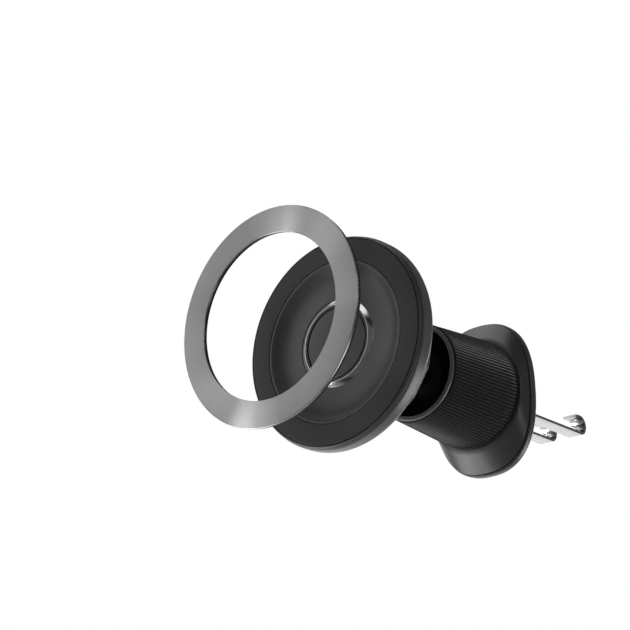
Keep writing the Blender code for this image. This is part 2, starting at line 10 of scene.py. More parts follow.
import bmesh
import bpy
from bpy.props import (
    FloatProperty,
    FloatVectorProperty,
    IntProperty,
    PointerProperty,
)
from mathutils import Matrix, Vector


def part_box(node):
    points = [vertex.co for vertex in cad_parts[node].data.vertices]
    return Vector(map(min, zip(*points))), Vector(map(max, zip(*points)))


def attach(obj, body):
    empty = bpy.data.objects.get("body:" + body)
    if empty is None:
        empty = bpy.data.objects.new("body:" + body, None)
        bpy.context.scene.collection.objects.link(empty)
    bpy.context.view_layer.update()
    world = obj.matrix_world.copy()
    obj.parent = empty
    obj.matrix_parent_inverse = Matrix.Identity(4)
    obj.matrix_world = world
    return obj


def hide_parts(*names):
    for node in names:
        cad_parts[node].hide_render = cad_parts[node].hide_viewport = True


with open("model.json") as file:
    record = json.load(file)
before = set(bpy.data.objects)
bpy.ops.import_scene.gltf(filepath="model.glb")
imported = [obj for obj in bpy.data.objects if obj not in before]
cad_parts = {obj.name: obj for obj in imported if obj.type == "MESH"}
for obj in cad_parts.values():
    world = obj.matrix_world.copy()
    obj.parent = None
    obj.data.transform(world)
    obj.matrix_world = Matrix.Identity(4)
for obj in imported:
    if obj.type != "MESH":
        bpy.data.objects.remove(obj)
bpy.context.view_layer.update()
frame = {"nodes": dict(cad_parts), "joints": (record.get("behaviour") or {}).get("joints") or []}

bl_info = {
    "name": "Car phone mount",
    "version": (1, 0, 0),
    "blender": (4, 5, 0),
    "location": "View3D > Sidebar > Phone mount",
    "description": "Builds a magnetic vent phone mount piece by piece",
    "category": "Add Mesh",
}

MM = 0.001
TURN = 2 * math.pi
SEGMENTS = 160  # round the large turned pieces
FINE_SEGMENTS = 96  # round the small turned pieces
CORNER_STEPS = 4  # points in a rounded corner
ARM_MIDDLE = Vector((0.0, -0.045, 0.0))
FLOOR_Z = -1.0
FLOOR_HALF = 20.0
VIEW_MIDDLE = Vector((-0.00315, -0.07928, 0.00629))
SENSOR_WIDTH_MM = 36.0
NOISE_ROUGHNESS = 0.55  # how strong a noise's fine lumps are
ABS_IOR = 1.52

# name: direction from the arm's middle, distance, width and height in metres, brightness
SOFT_BOXES = {
    "backdrop": ((-0.66, 0.70, -0.22), 1.1, 1.6, 1.3, 1.1),
    "low_back": ((0.48, 0.74, -0.48), 1.0, 0.5, 0.45, 4.4),
    "rim_back": ((-0.05, 0.99, 0.06), 1.0, 0.3, 0.3, 4.0),
    "low_left": ((-0.74, -0.28, -0.61), 1.0, 0.75, 0.5, 5.5),
    "left_key": ((-0.68, -0.65, 0.33), 1.0, 0.6, 0.4, 1.5),
    "left_strip": ((-0.8, -0.72, -0.14), 1.0, 0.02, 0.25, 60.0),
    "top": ((-0.3, 0.0, 0.95), 1.0, 0.5, 0.9, 1.9),
    "front_top": ((-0.15, -0.65, 0.75), 1.0, 0.4, 0.3, 1.3),
    "right_front": ((0.72, -0.58, 0.3), 1.0, 0.25, 0.4, 4.5),
    "low_right": ((0.79, 0.2, -0.45), 1.0, 0.3, 0.5, 2.2),
}


# ------------------------------------------------------------------ places from the frame


def reach(node):
    """(front y, rear y, radius) of a round CAD piece on the arm's axis."""
    low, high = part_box(node)
    return low.y, high.y, high.x


def middle(node):
    low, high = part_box(node)
    return (low + high) / 2


# ------------------------------------------------------------------ colours and nodes


def srgb(hex_code):
    """An sRGB hex code as linear RGB."""
    channels = [int(hex_code[i : i + 2], 16) / 255 for i in (0, 2, 4)]
    return tuple(c / 12.92 if c <= 0.04045 else ((c + 0.055) / 1.055) ** 2.4 for c in channels)


def rgba(colour, gain=1.0):
    """A colour setting as RGBA, made lighter or darker by a gain."""
    return (*[min(1.0, c * gain) for c in colour], 1.0)


def add(tree, kind, inputs=None, **settings):
    """Adds a node. A socket given as an input is linked, and any other value is set."""
    made = tree.nodes.new(kind)
    for key, value in settings.items():
        setattr(made, key, value)
    for key, value in (inputs or {}).items():
        if isinstance(value, bpy.types.NodeSocket):
            tree.links.new(value, made.inputs[key])
        else:
            made.inputs[key].default_value = value
    return made


def new_material(name):
    """An empty material: its tree, its shader and the object coordinates in millimetres."""
    material = bpy.data.materials.new(name)
    material.use_nodes = True
    tree = material.node_tree
    shader = tree.nodes["Principled BSDF"]
    place = add(tree, "ShaderNodeTexCoord").outputs["Object"]
    scale = {0: place, 1: (1 / MM, 1 / MM, 1 / MM)}
    in_mm = add(tree, "ShaderNodeVectorMath", scale, operation="MULTIPLY")
    return material, tree, shader, in_mm.outputs[0]


def drive(tree, field, socket, low, high, start=0.3, end=0.7):
    """Takes a socket from low to high, floats or colours, as a field goes from start to end."""
    in_colour = isinstance(low, tuple)
    first, last = (0.0, 1.0) if in_colour else (low, high)
    inputs = {"Value": field, 1: start, 2: end, 3: first, 4: last}
    value = add(tree, "ShaderNodeMapRange", inputs).outputs["Result"]
    if in_colour:
        inputs = {"Factor": value, 6: low, 7: high}
        value = add(tree, "ShaderNodeMix", inputs, data_type="RGBA").outputs[2]
    tree.links.new(value, socket)


def patterned(name, colour, patterns, tint, rough, relief=None, fixed=None):
    """A material whose tint, roughness and height each follow a pattern.

    patterns: label -> (lump size in mm, detail, and how far it is drawn out along X, Y and Z).
    Detail None makes round cells. tint and rough are (label, low, high), and relief is
    (label, depth in mm). fixed holds plain shader values.
    """
    material, tree, shader, place = new_material(name)
    fields = {}
    for label, (size_mm, detail, *longer) in patterns.items():
        inputs = {"Vector": place, "Scale": 1 / size_mm}
        if longer:
            shares = {0: place, 1: tuple(1 / share for share in longer)}
            scaled = add(tree, "ShaderNodeVectorMath", shares, operation="MULTIPLY")
            inputs["Vector"] = scaled.outputs[0]
        if detail is None:
            fields[label] = add(tree, "ShaderNodeTexVoronoi", inputs).outputs["Distance"]
            continue
        inputs.update({"Detail": detail, "Roughness": NOISE_ROUGHNESS})
        fields[label] = add(tree, "ShaderNodeTexNoise", inputs).outputs["Fac"]
    label, low, high = tint
    base = shader.inputs["Base Color"]
    drive(tree, fields[label], base, rgba(colour, low), rgba(colour, high))
    label, low, high = rough
    drive(tree, fields[label], shader.inputs["Roughness"], low, high)
    if relief:
        label, depth_mm = relief
        inputs = {"Distance": depth_mm * MM, "Height": fields[label]}
        raised = add(tree, "ShaderNodeBump", {"Strength": 1.0, **inputs})
        tree.links.new(raised.outputs[0], shader.inputs["Normal"])
    for socket, value in (fixed or {}).items():
        shader.inputs[socket].default_value = value
    return material


# ------------------------------------------------------------------ materials


def moulded_plastic(name, colour, roughness, grain_mm=0.35, grain_depth=0.012, gloss=0.5):
    """Injection-moulded ABS from a spark-eroded mould: an even, fine satin grain.

    The real grain is near 0.05 mm; it is drawn at grain_mm so that it shows at arm's length.
    """
    patterns = {"cloud": (9.0, 1.0), "grain": (grain_mm, 3.0)}
    rough = ("grain", roughness - 0.05, roughness + 0.06)
    fixed = {"IOR": ABS_IOR, "Specular IOR Level": gloss}
    relief = ("grain", grain_depth)
    return patterned(name, colour, patterns, ("cloud", 0.93, 1.07), rough, relief, fixed)


def ribbed_plastic(name, crest, groove, roughness, gloss):
    """Moulded ABS with ribs: rougher grooves, and painted shade that darkens the grooves and the
    unribbed parts.

    It reads "groove" from the mesh: 0 on a crest, 1 at the bottom of a groove and elsewhere.
    """
    material, tree, shader, place = new_material(name)
    depth = add(tree, "ShaderNodeAttribute", attribute_name="groove").outputs["Fac"]
    inputs = {"Vector": place, "Scale": 1 / 0.35, "Detail": 2.0, "Roughness": NOISE_ROUGHNESS}
    grain = add(tree, "ShaderNodeTexNoise", inputs).outputs["Fac"]
    # Painted shade: the colour goes from the crest colour to near-black as the groove value rises
    drive(tree, depth, shader.inputs["Base Color"], rgba(crest), rgba(groove), 0.05, 0.5)
    rough = add(tree, "ShaderNodeMath", operation="ADD")
    drive(tree, depth, rough.inputs[0], roughness, 0.75, 0.05, 0.5)
    drive(tree, grain, rough.inputs[1], -0.02, 0.02)
    tree.links.new(rough.outputs[0], shader.inputs["Roughness"])
    shader.inputs["IOR"].default_value = ABS_IOR
    shader.inputs["Specular IOR Level"].default_value = gloss
    return material


def soft_silicone(name, colour):
    """Silicone with a soft-touch skin: very even and nearly matt, with a faint haze."""
    patterns = {"haze": (14.0, 2.0), "grain": (0.5, 2.0)}
    fixed = {"IOR": 1.41, "Sheen Weight": 0.05}
    tint, rough = ("haze", 0.95, 1.05), ("haze", 0.58, 0.66)
    return patterned(name, colour, patterns, tint, rough, ("grain", 0.006), fixed)


def brushed_ring_steel(name, colour, roughness):
    """Stainless steel brushed in circles: fine rings that pull a highlight into a fan.

    The scratches are 0.02 mm apart; they are drawn 0.25 mm apart so that they show.
    """
    material, tree, shader, place = new_material(name)
    parts = add(tree, "ShaderNodeSeparateXYZ", {0: place})
    flat = add(tree, "ShaderNodeCombineXYZ", {0: parts.outputs["X"], 1: parts.outputs["Z"]})
    radius = add(tree, "ShaderNodeVectorMath", {0: flat.outputs[0]}, operation="LENGTH")
    rings = {"W": radius.outputs["Value"], "Scale": 1 / 0.25, "Detail": 3.0}
    scratch = add(tree, "ShaderNodeTexNoise", rings, noise_dimensions="1D").outputs["Fac"]
    spoke = add(tree, "ShaderNodeVectorMath", {0: flat.outputs[0]}, operation="NORMALIZE")
    inputs = {"Vector": spoke.outputs[0], "Scale": 1 / 0.12, "Detail": 3.0}
    inputs["Roughness"] = NOISE_ROUGHNESS
    streak = add(tree, "ShaderNodeTexNoise", inputs).outputs["Fac"]
    both = add(tree, "ShaderNodeMath", {0: scratch, 1: streak}, operation="ADD").outputs[0]
    base = shader.inputs["Base Color"]
    drive(tree, both, base, rgba(colour, 0.93), rgba(colour, 1.04), 0.6, 1.4)
    rough = shader.inputs["Roughness"]
    drive(tree, scratch, rough, roughness - 0.05, roughness + 0.07, 0.25, 0.75)
    shader.inputs["Metallic"].default_value = 1.0
    shader.inputs["Anisotropic"].default_value = 1.0
    shader.inputs["Anisotropic Rotation"].default_value = 0.25
    tangent = add(tree, "ShaderNodeTangent", direction_type="UV_MAP", uv_map="turned")
    tree.links.new(tangent.outputs[0], shader.inputs["Tangent"])
    inputs = {"Strength": 1.0, "Distance": 0.002 * MM, "Height": scratch}
    raised = add(tree, "ShaderNodeBump", inputs)
    tree.links.new(raised.outputs[0], shader.inputs["Normal"])
    return material


def polished_chrome(name, colour):
    """Bright chrome plating on moulded plastic: a mirror with the faintest waviness."""
    tint, rough = ("wave", 0.97, 1.0), ("wave", 0.15, 0.19)
    return patterned(name, colour, {"wave": (3.0, 1.0)}, tint, rough, fixed={"Metallic": 1.0})


def rolled_steel(name, colour, roughness, along=(1.0, 40.0, 1.0), grain_mm=0.18):
    """Rolled metal strip or sheet: faint lines along the rolling direction and soft stains."""
    patterns = {"lines": (grain_mm, 2.0, *along), "stain": (4.0, 2.0)}
    rough = ("lines", roughness - 0.06, roughness + 0.08)
    relief, fixed = ("lines", 0.004), {"Metallic": 1.0}
    return patterned(name, colour, patterns, ("stain", 0.92, 1.03), rough, relief, fixed)


def turned_metal(name, colour, roughness):
    """Plated or plain turned metal: screws, nut and magnets, with fine tool marks."""
    patterns = {"marks": (0.3, 3.0)}
    rough = ("marks", roughness - 0.05, roughness + 0.08)
    relief, fixed = ("marks", 0.003), {"Metallic": 1.0}
    return patterned(name, colour, patterns, ("marks", 0.9, 1.08), rough, relief, fixed)


def cellular_rubber(name, colour, roughness, cell_mm):
    """Rubber or adhesive foam: matt, with small open cells that speckle its skin."""
    patterns = {"cells": (cell_mm, None), "dust": (5.0, 3.0)}
    rough = ("dust", roughness - 0.04, roughness + 0.06)
    relief, fixed = ("cells", 0.02), {"IOR": 1.45}
    return patterned(name, colour, patterns, ("dust", 0.85, 1.25), rough, relief, fixed)


# ------------------------------------------------------------------ making shapes


def keep(obj, body, replaced=(), material=None):
    """Gives a finished piece its material, and its place in the frame."""
    if material:
        obj.data.materials.clear()
        obj.data.materials.append(material)
    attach(obj, body)
    if replaced:
        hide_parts(*replaced)


def dress(nodes, material):
    """Gives CAD pieces that keep their shape a better material."""
    for node in nodes:
        piece = frame["nodes"][node]
        if not piece.material_slots:
            piece.data.materials.append(material)
        for slot in piece.material_slots:
            slot.material = material


def smooth(mesh, angle_deg=35):
    mesh.shade_smooth()
    mesh.set_sharp_from_angle(angle=math.radians(angle_deg))


def new_object(name, bm):
    bmesh.ops.recalc_face_normals(bm, faces=bm.faces)
    mesh = bpy.data.meshes.new(name)
    bm.to_mesh(mesh)
    bm.free()
    smooth(mesh)
    obj = bpy.data.objects.new(name, mesh)
    bpy.context.scene.collection.objects.link(obj)
    return obj


def rounded(corners, closed):
    """A profile whose corners (r, y, radius) are rounded by short curves."""
    points = []
    count = len(corners)
    for i, (r, y, radius) in enumerate(corners):
        here = Vector((r, y))
        at_end = not closed and i in (0, count - 1)
        if radius <= 0 or at_end:
            points.append(here)
            continue
        before = Vector(corners[i - 1][:2]) - here
        after = Vector(corners[(i + 1) % count][:2]) - here
        cut = min(radius, 0.45 * before.length, 0.45 * after.length)
        start, end = here + before.normalized() * cut, here + after.normalized() * cut
        for k in range(CORNER_STEPS + 1):
            t = k / CORNER_STEPS
            points.append(start * (1 - t) ** 2 + here * 2 * t * (1 - t) + end * t**2)
    return points


def lathe(name, corners, closed=True, segments=SEGMENTS, at=(0.0, 0.0), mask=None):
    """A piece turned about the line through (x, z) = at, along Y.

    Each corner is (radius, y, rounding) in metres. An open profile ends on the axis. The UV
    map has u round the axis. mask, a function of a profile point, is kept as "ribbed".
    """
    profile = rounded(corners, closed)
    bm = bmesh.new()
    layer = bm.loops.layers.uv.new("turned")
    weight = bm.verts.layers.float.new("ribbed") if mask else None
    rings = []
    for point in profile:
        radius, y = point
        if radius < 1e-7:
            rings.append([bm.verts.new((at[0], y, at[1]))] * segments)
            continue
        ring = []
        for i in range(segments):
            angle = TURN * i / segments
            x, z = at[0] + radius * math.cos(angle), at[1] + radius * math.sin(angle)
            vert = bm.verts.new((x, y, z))
            if mask:
                vert[weight] = mask(point)
            ring.append(vert)
        rings.append(ring)
    pairs = [(k, k + 1) for k in range(len(rings) - 1)]
    if closed:
        pairs.append((len(rings) - 1, 0))
    for row, (a, b) in enumerate(pairs):
        for i in range(segments):
            j = (i + 1) % segments
            corners_of_face = [(rings[a][i], i, 0), (rings[b][i], i, 1)]
            corners_of_face += [(rings[b][j], i + 1, 1), (rings[a][j], i + 1, 0)]
            unique = []
            for vert, u, v in corners_of_face:
                if vert not in [known[0] for known in unique]:
                    unique.append((vert, u, v))
            if len(unique) < 3:
                continue
            face = bm.faces.new([vert for vert, u, v in unique])
            for loop, (vert, u, v) in zip(face.loops, unique):
                loop[layer].uv = (u / segments, (row + v) / len(rings))
    return new_object(name, bm)


def superellipse(half_width, half_height, exponent, y, count):
    """Points round a rounded outline, from +X towards +Z."""
    points = []
    for i in range(count):
        angle = TURN * i / count
        c, s = math.cos(angle), math.sin(angle)
        length = (abs(c) ** exponent + abs(s) ** exponent) ** (-1 / exponent)
        points.append(Vector((half_width * length * c, y, half_height * length * s)))
    return points


def loft(name, sections, capped):
    """Joins outlines with equal counts: capped, or closed on itself like a tube's wall."""
    bm = bmesh.new()
    rings = [[bm.verts.new(p) for p in section] for section in sections]
    count = len(rings[0])
    pairs = list(zip(rings, rings[1:]))
    if not capped:
        pairs.append((rings[-1], rings[0]))
    for low, high in pairs:
        for i in range(count):
            j = (i + 1) % count
            bm.faces.new((low[i], high[i], high[j], low[j]))
    if capped:
        bm.faces.new(rings[0])
        bm.faces.new(rings[-1][::-1])
    return new_object(name, bm)


def plain(obj):
    """Replaces an object by its evaluated mesh, with no modifiers and at the origin."""
    bpy.context.view_layer.update()
    graph = bpy.context.evaluated_depsgraph_get()
    mesh = bpy.data.meshes.new_from_object(obj.evaluated_get(graph), depsgraph=graph)
    mesh.transform(obj.matrix_world)
    name = obj.name
    bpy.data.objects.remove(obj, do_unlink=True)
    made = bpy.data.objects.new(name, mesh)
    bpy.context.scene.collection.objects.link(made)
    return made


def cut(obj, tools, operation="DIFFERENCE"):
    """Cuts or joins solids with exact booleans, and removes the tools."""
    for tool in tools:
        boolean = obj.modifiers.new(tool.name, "BOOLEAN")
        boolean.solver = "EXACT"
        boolean.operation = operation
        boolean.object = tool
    made = plain(obj)
    for tool in tools:
        bpy.data.objects.remove(tool, do_unlink=True)
    smooth(made.data)
    return made


def peg(name, radius, front_y, rear_y, x, z, segments=32):
    """A plain round tool along Y, for cut()."""
    corners = [(0, rear_y, 0), (radius, rear_y, 0), (radius, front_y, 0), (0, front_y, 0)]
    return lathe(name, corners, closed=False, segments=segments, at=(x, z))


def window_tool(name, x, half_width, half_height, front_y, rear_y, corner):
    """A block with rounded corners along Y, for cut()."""
    outline = []
    for sx, sz, start in ((1, 1, 0), (-1, 1, 90), (-1, -1, 180), (1, -1, 270)):
        cx, cz = x + sx * (half_width - corner), sz * (half_height - corner)
        for k in range(CORNER_STEPS + 1):
            angle = math.radians(start + 90 * k / CORNER_STEPS)
            outline.append((cx + corner * math.cos(angle), cz + corner * math.sin(angle)))
    sections = [[Vector((px, y, pz)) for px, pz in outline] for y in (front_y, rear_y)]
    return loft(name, sections, capped=True)


def mesh_of_points(name, places, **values):
    """Loose points with float attributes, for a node tree to put something on."""
    mesh = bpy.data.meshes.new(name)
    mesh.from_pydata([tuple(p) for p in places], [], [])
    for key, numbers in values.items():
        layer = mesh.attributes.new(key, "FLOAT", "POINT")
        layer.data.foreach_set("value", numbers)
    obj = bpy.data.objects.new(name, mesh)
    bpy.context.scene.collection.objects.link(obj)
    return obj


# ------------------------------------------------------------------ geometry node trees


def new_tree(name, sockets):
    """A geometry tree with a geometry in and out, and named inputs (name, type)."""
    tree = bpy.data.node_groups.new(name, "GeometryNodeTree")
    tree.interface.new_socket("Geometry", in_out="INPUT", socket_type="NodeSocketGeometry")
    for label, kind in sockets:
        tree.interface.new_socket(label, in_out="INPUT", socket_type=kind)
    tree.interface.new_socket("Geometry", in_out="OUTPUT", socket_type="NodeSocketGeometry")
    return tree, add(tree, "NodeGroupInput")


def close_tree(tree, geometry, material):
    """Ends a tree: real geometry, with its material."""
    real = add(tree, "GeometryNodeRealizeInstances", {"Geometry": geometry})
    painted = {"Geometry": real.outputs[0], "Material": material}
    last = add(tree, "GeometryNodeSetMaterial", painted)
    add(tree, "NodeGroupOutput", {"Geometry": last.outputs[0]})
    return tree


def run_tree(obj, tree, values):
    """Applies a tree to an object with these inputs, and returns the plain mesh object."""
    modifier = obj.modifiers.new(tree.name, "NODES")
    modifier.node_group = tree
    for item in tree.interface.items_tree:
        if item.in_out == "INPUT" and item.name in values:
            modifier[item.identifier] = values[item.name]
    return plain(obj)


def ribs_tree():
    """Presses lengthwise grooves into a turned sleeve where its "ribbed" weight is 1."""
    sockets = [
        ("Rib Count", "NodeSocketInt"),
        ("Rib Depth", "NodeSocketFloat"),
        ("Crest Share", "NodeSocketFloat"),
        ("Material", "NodeSocketMaterial"),
    ]
    tree, given = new_tree("Lengthwise ribs", sockets)
    place = add(tree, "GeometryNodeInputPosition").outputs[0]
    parts = add(tree, "ShaderNodeSeparateXYZ", {0: place})
    x, z = parts.outputs["X"], parts.outputs["Z"]
    angle = add(tree, "ShaderNodeMath", {0: z, 1: x}, operation="ARCTAN2").outputs[0]
    inputs = {0: angle, 1: given.outputs["Rib Count"]}
    phase = add(tree, "ShaderNodeMath", inputs, operation="MULTIPLY")
    wave = add(tree, "ShaderNodeMath", {0: phase.outputs[0]}, operation="COSINE").outputs[0]
    inputs = {"Value": wave, 1: -1.0, 2: 1.0, 3: 1.0, 4: 0.0}
    valley = add(tree, "ShaderNodeMapRange", inputs).outputs["Result"]
    inputs = {0: valley, 1: given.outputs["Crest Share"]}
    shaped = add(tree, "ShaderNodeMath", inputs, operation="POWER").outputs[0]
    weight = add(tree, "GeometryNodeInputNamedAttribute", {"Name": "ribbed"}, data_type="FLOAT")
    masked = {0: shaped, 1: weight.outputs["Attribute"]}
    masked = add(tree, "ShaderNodeMath", masked, operation="MULTIPLY").outputs[0]
    depth = {0: masked, 1: given.outputs["Rib Depth"]}
    depth = add(tree, "ShaderNodeMath", depth, operation="MULTIPLY").outputs[0]
    inward = add(tree, "ShaderNodeMath", {0: depth, 1: -1.0}, operation="MULTIPLY").outputs[0]
    flat = add(tree, "ShaderNodeCombineXYZ", {"X": x, "Z": z}).outputs[0]
    outward = add(tree, "ShaderNodeVectorMath", {0: flat}, operation="NORMALIZE").outputs[0]
    inputs = {0: outward, "Scale": inward}
    offset = add(tree, "ShaderNodeVectorMath", inputs, operation="SCALE").outputs[0]
    inputs = {"Geometry": given.outputs["Geometry"], "Offset": offset}
    pressed = add(tree, "GeometryNodeSetPosition", inputs).outputs[0]
    # groove is 1 in the grooves and on every unribbed part; the material paints shade with it
    bare = {0: 1.0, 1: weight.outputs["Attribute"]}
    bare = add(tree, "ShaderNodeMath", bare, operation="SUBTRACT").outputs[0]
    groove = add(tree, "ShaderNodeMath", {0: masked, 1: bare}, operation="ADD").outputs[0]
    inputs = {"Geometry": pressed, "Name": "groove", "Value": groove}
    marked = add(tree, "GeometryNodeStoreNamedAttribute", inputs, data_type="FLOAT").outputs[0]
    return close_tree(tree, marked, given.outputs["Material"])


def copies_tree():
    """Puts a copy of an object on every point, lengthened along X by the point's "length"."""
    sockets = [("Piece", "NodeSocketObject"), ("Material", "NodeSocketMaterial")]
    tree, given = new_tree("Copies on points", sockets)
    piece = add(tree, "GeometryNodeObjectInfo", {"Object": given.outputs["Piece"]})
    length = add(tree, "GeometryNodeInputNamedAttribute", {"Name": "length"}, data_type="FLOAT")
    size = {"X": length.outputs["Attribute"], "Y": 1.0, "Z": 1.0}
    size = add(tree, "ShaderNodeCombineXYZ", size).outputs[0]
    inputs = {
        "Points": given.outputs["Geometry"],
        "Instance": piece.outputs["Geometry"],
        "Scale": size,
    }
    copies = add(tree, "GeometryNodeInstanceOnPoints", inputs).outputs[0]
    return close_tree(tree, copies, given.outputs["Material"])


def copied(name, master, places, lengths, material):
    """One mesh of copies of master, which is then removed."""
    points = mesh_of_points(name, places, length=lengths)
    made = run_tree(points, copies_tree(), {"Piece": master, "Material": material})
    bpy.data.objects.remove(master, do_unlink=True)
    smooth(made.data)
    return made


# ------------------------------------------------------------------ settings


def colour_setting(label, hex_code):
    return FloatVectorProperty(
        name=label,
        description=label + " of this piece, linear",
        subtype="COLOR",
        size=3,
        min=0.0,
        max=1.0,
        default=srgb(hex_code),
    )


def length_setting(label, what, size_mm):
    return FloatProperty(
        name=label, description=what, default=size_mm * MM, min=0.0, unit="LENGTH"
    )


class RingSettings(bpy.types.PropertyGroup):
    hole_radius: length_setting("Hole radius", "Inner radius of the loose ring", 23.0)
    backing_inset: length_setting("Backing inset", "How far the foam stays inside the steel", 0.2)
    steel_colour: colour_setting("Steel colour", "9c9c9d")
    backing_colour: colour_setting("Backing colour", "0c0c0c")
    roughness: FloatProperty(
        name="Roughness", description="Roughness of the brushed steel", default=0.31, min=0, max=1
    )


class FaceSettings(bpy.types.PropertyGroup):
    step_radius: length_setting("Step radius", "Where the flat face meets the dished disc", 23.2)
    dish_depth: length_setting("Dish depth", "How deep the disc is dished", 2.0)
    pad_colour: colour_setting("Face colour", "343434")
    disc_colour: colour_setting("Disc colour", "3c3c3c")


class BadgeSettings(bpy.types.PropertyGroup):
    bevel_width: length_setting("Bevel width", "Width of the chrome ring's sloping side", 1.35)
    height: length_setting("Height", "How far the chrome ring stands up", 0.6)
    chrome_colour: colour_setting("Chrome colour", "cccac8")
    disc_colour: colour_setting("Disc colour", "3a3a3a")


class ShellSettings(bpy.types.PropertyGroup):
    bezel_colour: colour_setting("Bezel colour", "333333")
    wall_colour: colour_setting("Side wall colour", "505050")
    cap_colour: colour_setting("Cap colour", "303030")
    facet_bevel: length_setting("Facet bevel", "Rounding of the cap's sixteen edges", 0.35)


class JointSettings(bpy.types.PropertyGroup):
    # Black plastic, both made near-black as painted shade so that the knob's mouth reads as a deep
    # hole
    stud_colour: colour_setting("Stud colour", "060606")
    collar_colour: colour_setting("Collar colour", "030303")


class KnobSettings(bpy.types.PropertyGroup):
    rib_count: IntProperty(
        name="Rib count", description="Ribs round the knob", default=98, min=12, max=240
    )
    rib_depth: length_setting("Rib depth", "Depth of the grooves between ribs", 0.65)
    sleeve_colour: colour_setting("Sleeve colour", "4e4e4e")
    lip_colour: colour_setting("Lip colour", "4c4c4c")
    washer_colour: colour_setting("Washer colour", "060606")


class VentPlateSettings(bpy.types.PropertyGroup):
    skirt_colour: colour_setting("Skirt colour", "2c2c2c")
    rim_colour: colour_setting("Rim colour", "3a3a3a")
    pad_colour: colour_setting("Pad colour", "111111")
    pad_rib_pitch: length_setting("Pad rib pitch", "Distance between the pad's ribs", 1.5)
    pad_rib_height: length_setting("Pad rib height", "How far the pad's ribs stand out", 0.35)


class HookSettings(bpy.types.PropertyGroup):
    steel_colour: colour_setting("Strip colour", "bcbcbc")
    edge_radius: length_setting("Edge radius", "Rounding of the strip's edges", 0.12)


class StageSettings(bpy.types.PropertyGroup):
    distance: length_setting("Distance", "From the camera to the middle of the view", 492.5)
    azimuth: FloatProperty(
        name="Azimuth", description="Camera azimuth", default=math.radians(39.87), subtype="ANGLE"
    )
    elevation: FloatProperty(
        name="Elevation",
        description="Camera elevation",
        default=math.radians(-20.4),
        subtype="ANGLE",
    )
    roll: FloatProperty(
        name="Roll", description="Camera roll", default=math.radians(-0.75), subtype="ANGLE"
    )
    lens: FloatProperty(
        name="Lens", description="Focal length in millimetres", default=102.9, min=20
    )
    shift_right: length_setting("Shift right", "Moves the camera right", 0.43)
    shift_up: length_setting("Shift up", "Moves the camera up", 0.77)
    room_light: FloatProperty(
        name="Room light", description="Light from all round", default=0.12, min=0
    )
    floor_colour: colour_setting("Floor colour", "ededed")


def group_setting(kind, label):
    return PointerProperty(type=kind, name=label, description=f"Sizes and colours: {label}")


class MountSettings(bpy.types.PropertyGroup):
    ring: group_setting(RingSettings, "Loose ring")
    face: group_setting(FaceSettings, "Face")
    badge: group_setting(BadgeSettings, "Badge")
    shell: group_setting(ShellSettings, "Head shells")
    joint: group_setting(JointSettings, "Ball joint")
    knob: group_setting(KnobSettings, "Knob")
    plate: group_setting(VentPlateSettings, "Vent plate")
    hook: group_setting(HookSettings, "Hook")
    stage: group_setting(StageSettings, "Stage")


# ------------------------------------------------------------------ loose ring


def build_loose_ring(settings):
    """A brushed steel annulus and the black foam that sticks it to a phone case."""
    front, rear, outer = reach("ring_plate")
    edge = 0.2 * MM
    inner = settings.hole_radius
    corners = [(outer, rear, edge), (outer, front, edge), (inner, front, edge), (inner, rear, edge)]
    steel = brushed_ring_steel("Circular brushed steel", settings.steel_colour, settings.roughness)
    ring = lathe("loose_ring_steel", corners)
    keep(ring, "ring", ["ring_plate"], steel)

    foam_rear = reach("ring_backing")[1]
    outer, inner = outer - settings.backing_inset, inner + settings.backing_inset
    front = rear + 0.02 * MM
    edge = 0.15 * MM
    corners = [
        (outer, foam_rear, edge),
        (outer, front, 0),
        (inner, front, 0),
        (inner, foam_rear, edge),
    ]
    foam = cellular_rubber("Black adhesive foam", settings.backing_colour, 0.75, 0.3)
    keep(lathe("loose_ring_foam", corners), "ring", ["ring_backing"], foam)


# ------------------------------------------------------------------ head


def build_face(settings):
    """The soft outer face and the dished disc, with a fine step between them."""
    front, rear, outer = reach("face_pad")
    step = settings.step_radius
    edge = 0.22 * MM
    inner, shelf_r, shelf = step + 0.06 * MM, 27.1 * MM, front + 0.35 * MM
    corners = [
        (outer, shelf, 0),
        (outer, front, edge),
        (inner, front, 0.1 * MM),
        (inner, rear, 0),
        (shelf_r, rear, 0),
        (shelf_r, shelf, 0),
    ]
    skin = soft_silicone("Soft-touch silicone", settings.pad_colour)
    keep(lathe("face_skin", corners), "head", ["face_pad"], skin)

    disc_front, disc_rear, _ = reach("face_disc")
    floor = front + settings.dish_depth
    rim, inner_r = step - 0.1 * MM, reach("badge_ring")[2] + 0.12 * MM
    corners = [(0, disc_rear, 0), (rim, disc_rear, 0), (rim, disc_front, 0.12 * MM)]
    dish_steps = 14
    lip = 0.7 * MM
    for k in range(dish_steps + 1):
        t = 1 - k / dish_steps
        radius = inner_r + (rim - lip - inner_r) * t
        rise = (floor - 0.1 * MM - disc_front) * (0.35 * t**2 + 0.65 * t**4)
        corners.append((radius, floor - 0.1 * MM - rise, 0))
    pocket = floor + 0.45 * MM
    corners += [(inner_r, pocket, 0), (0, pocket, 0)]
    satin = moulded_plastic("Satin disc plastic", settings.disc_colour, 0.36, 0.5, 0.004)
    disc = lathe("face_dish", corners, closed=False)
    keep(disc, "head", ["face_disc"], satin)


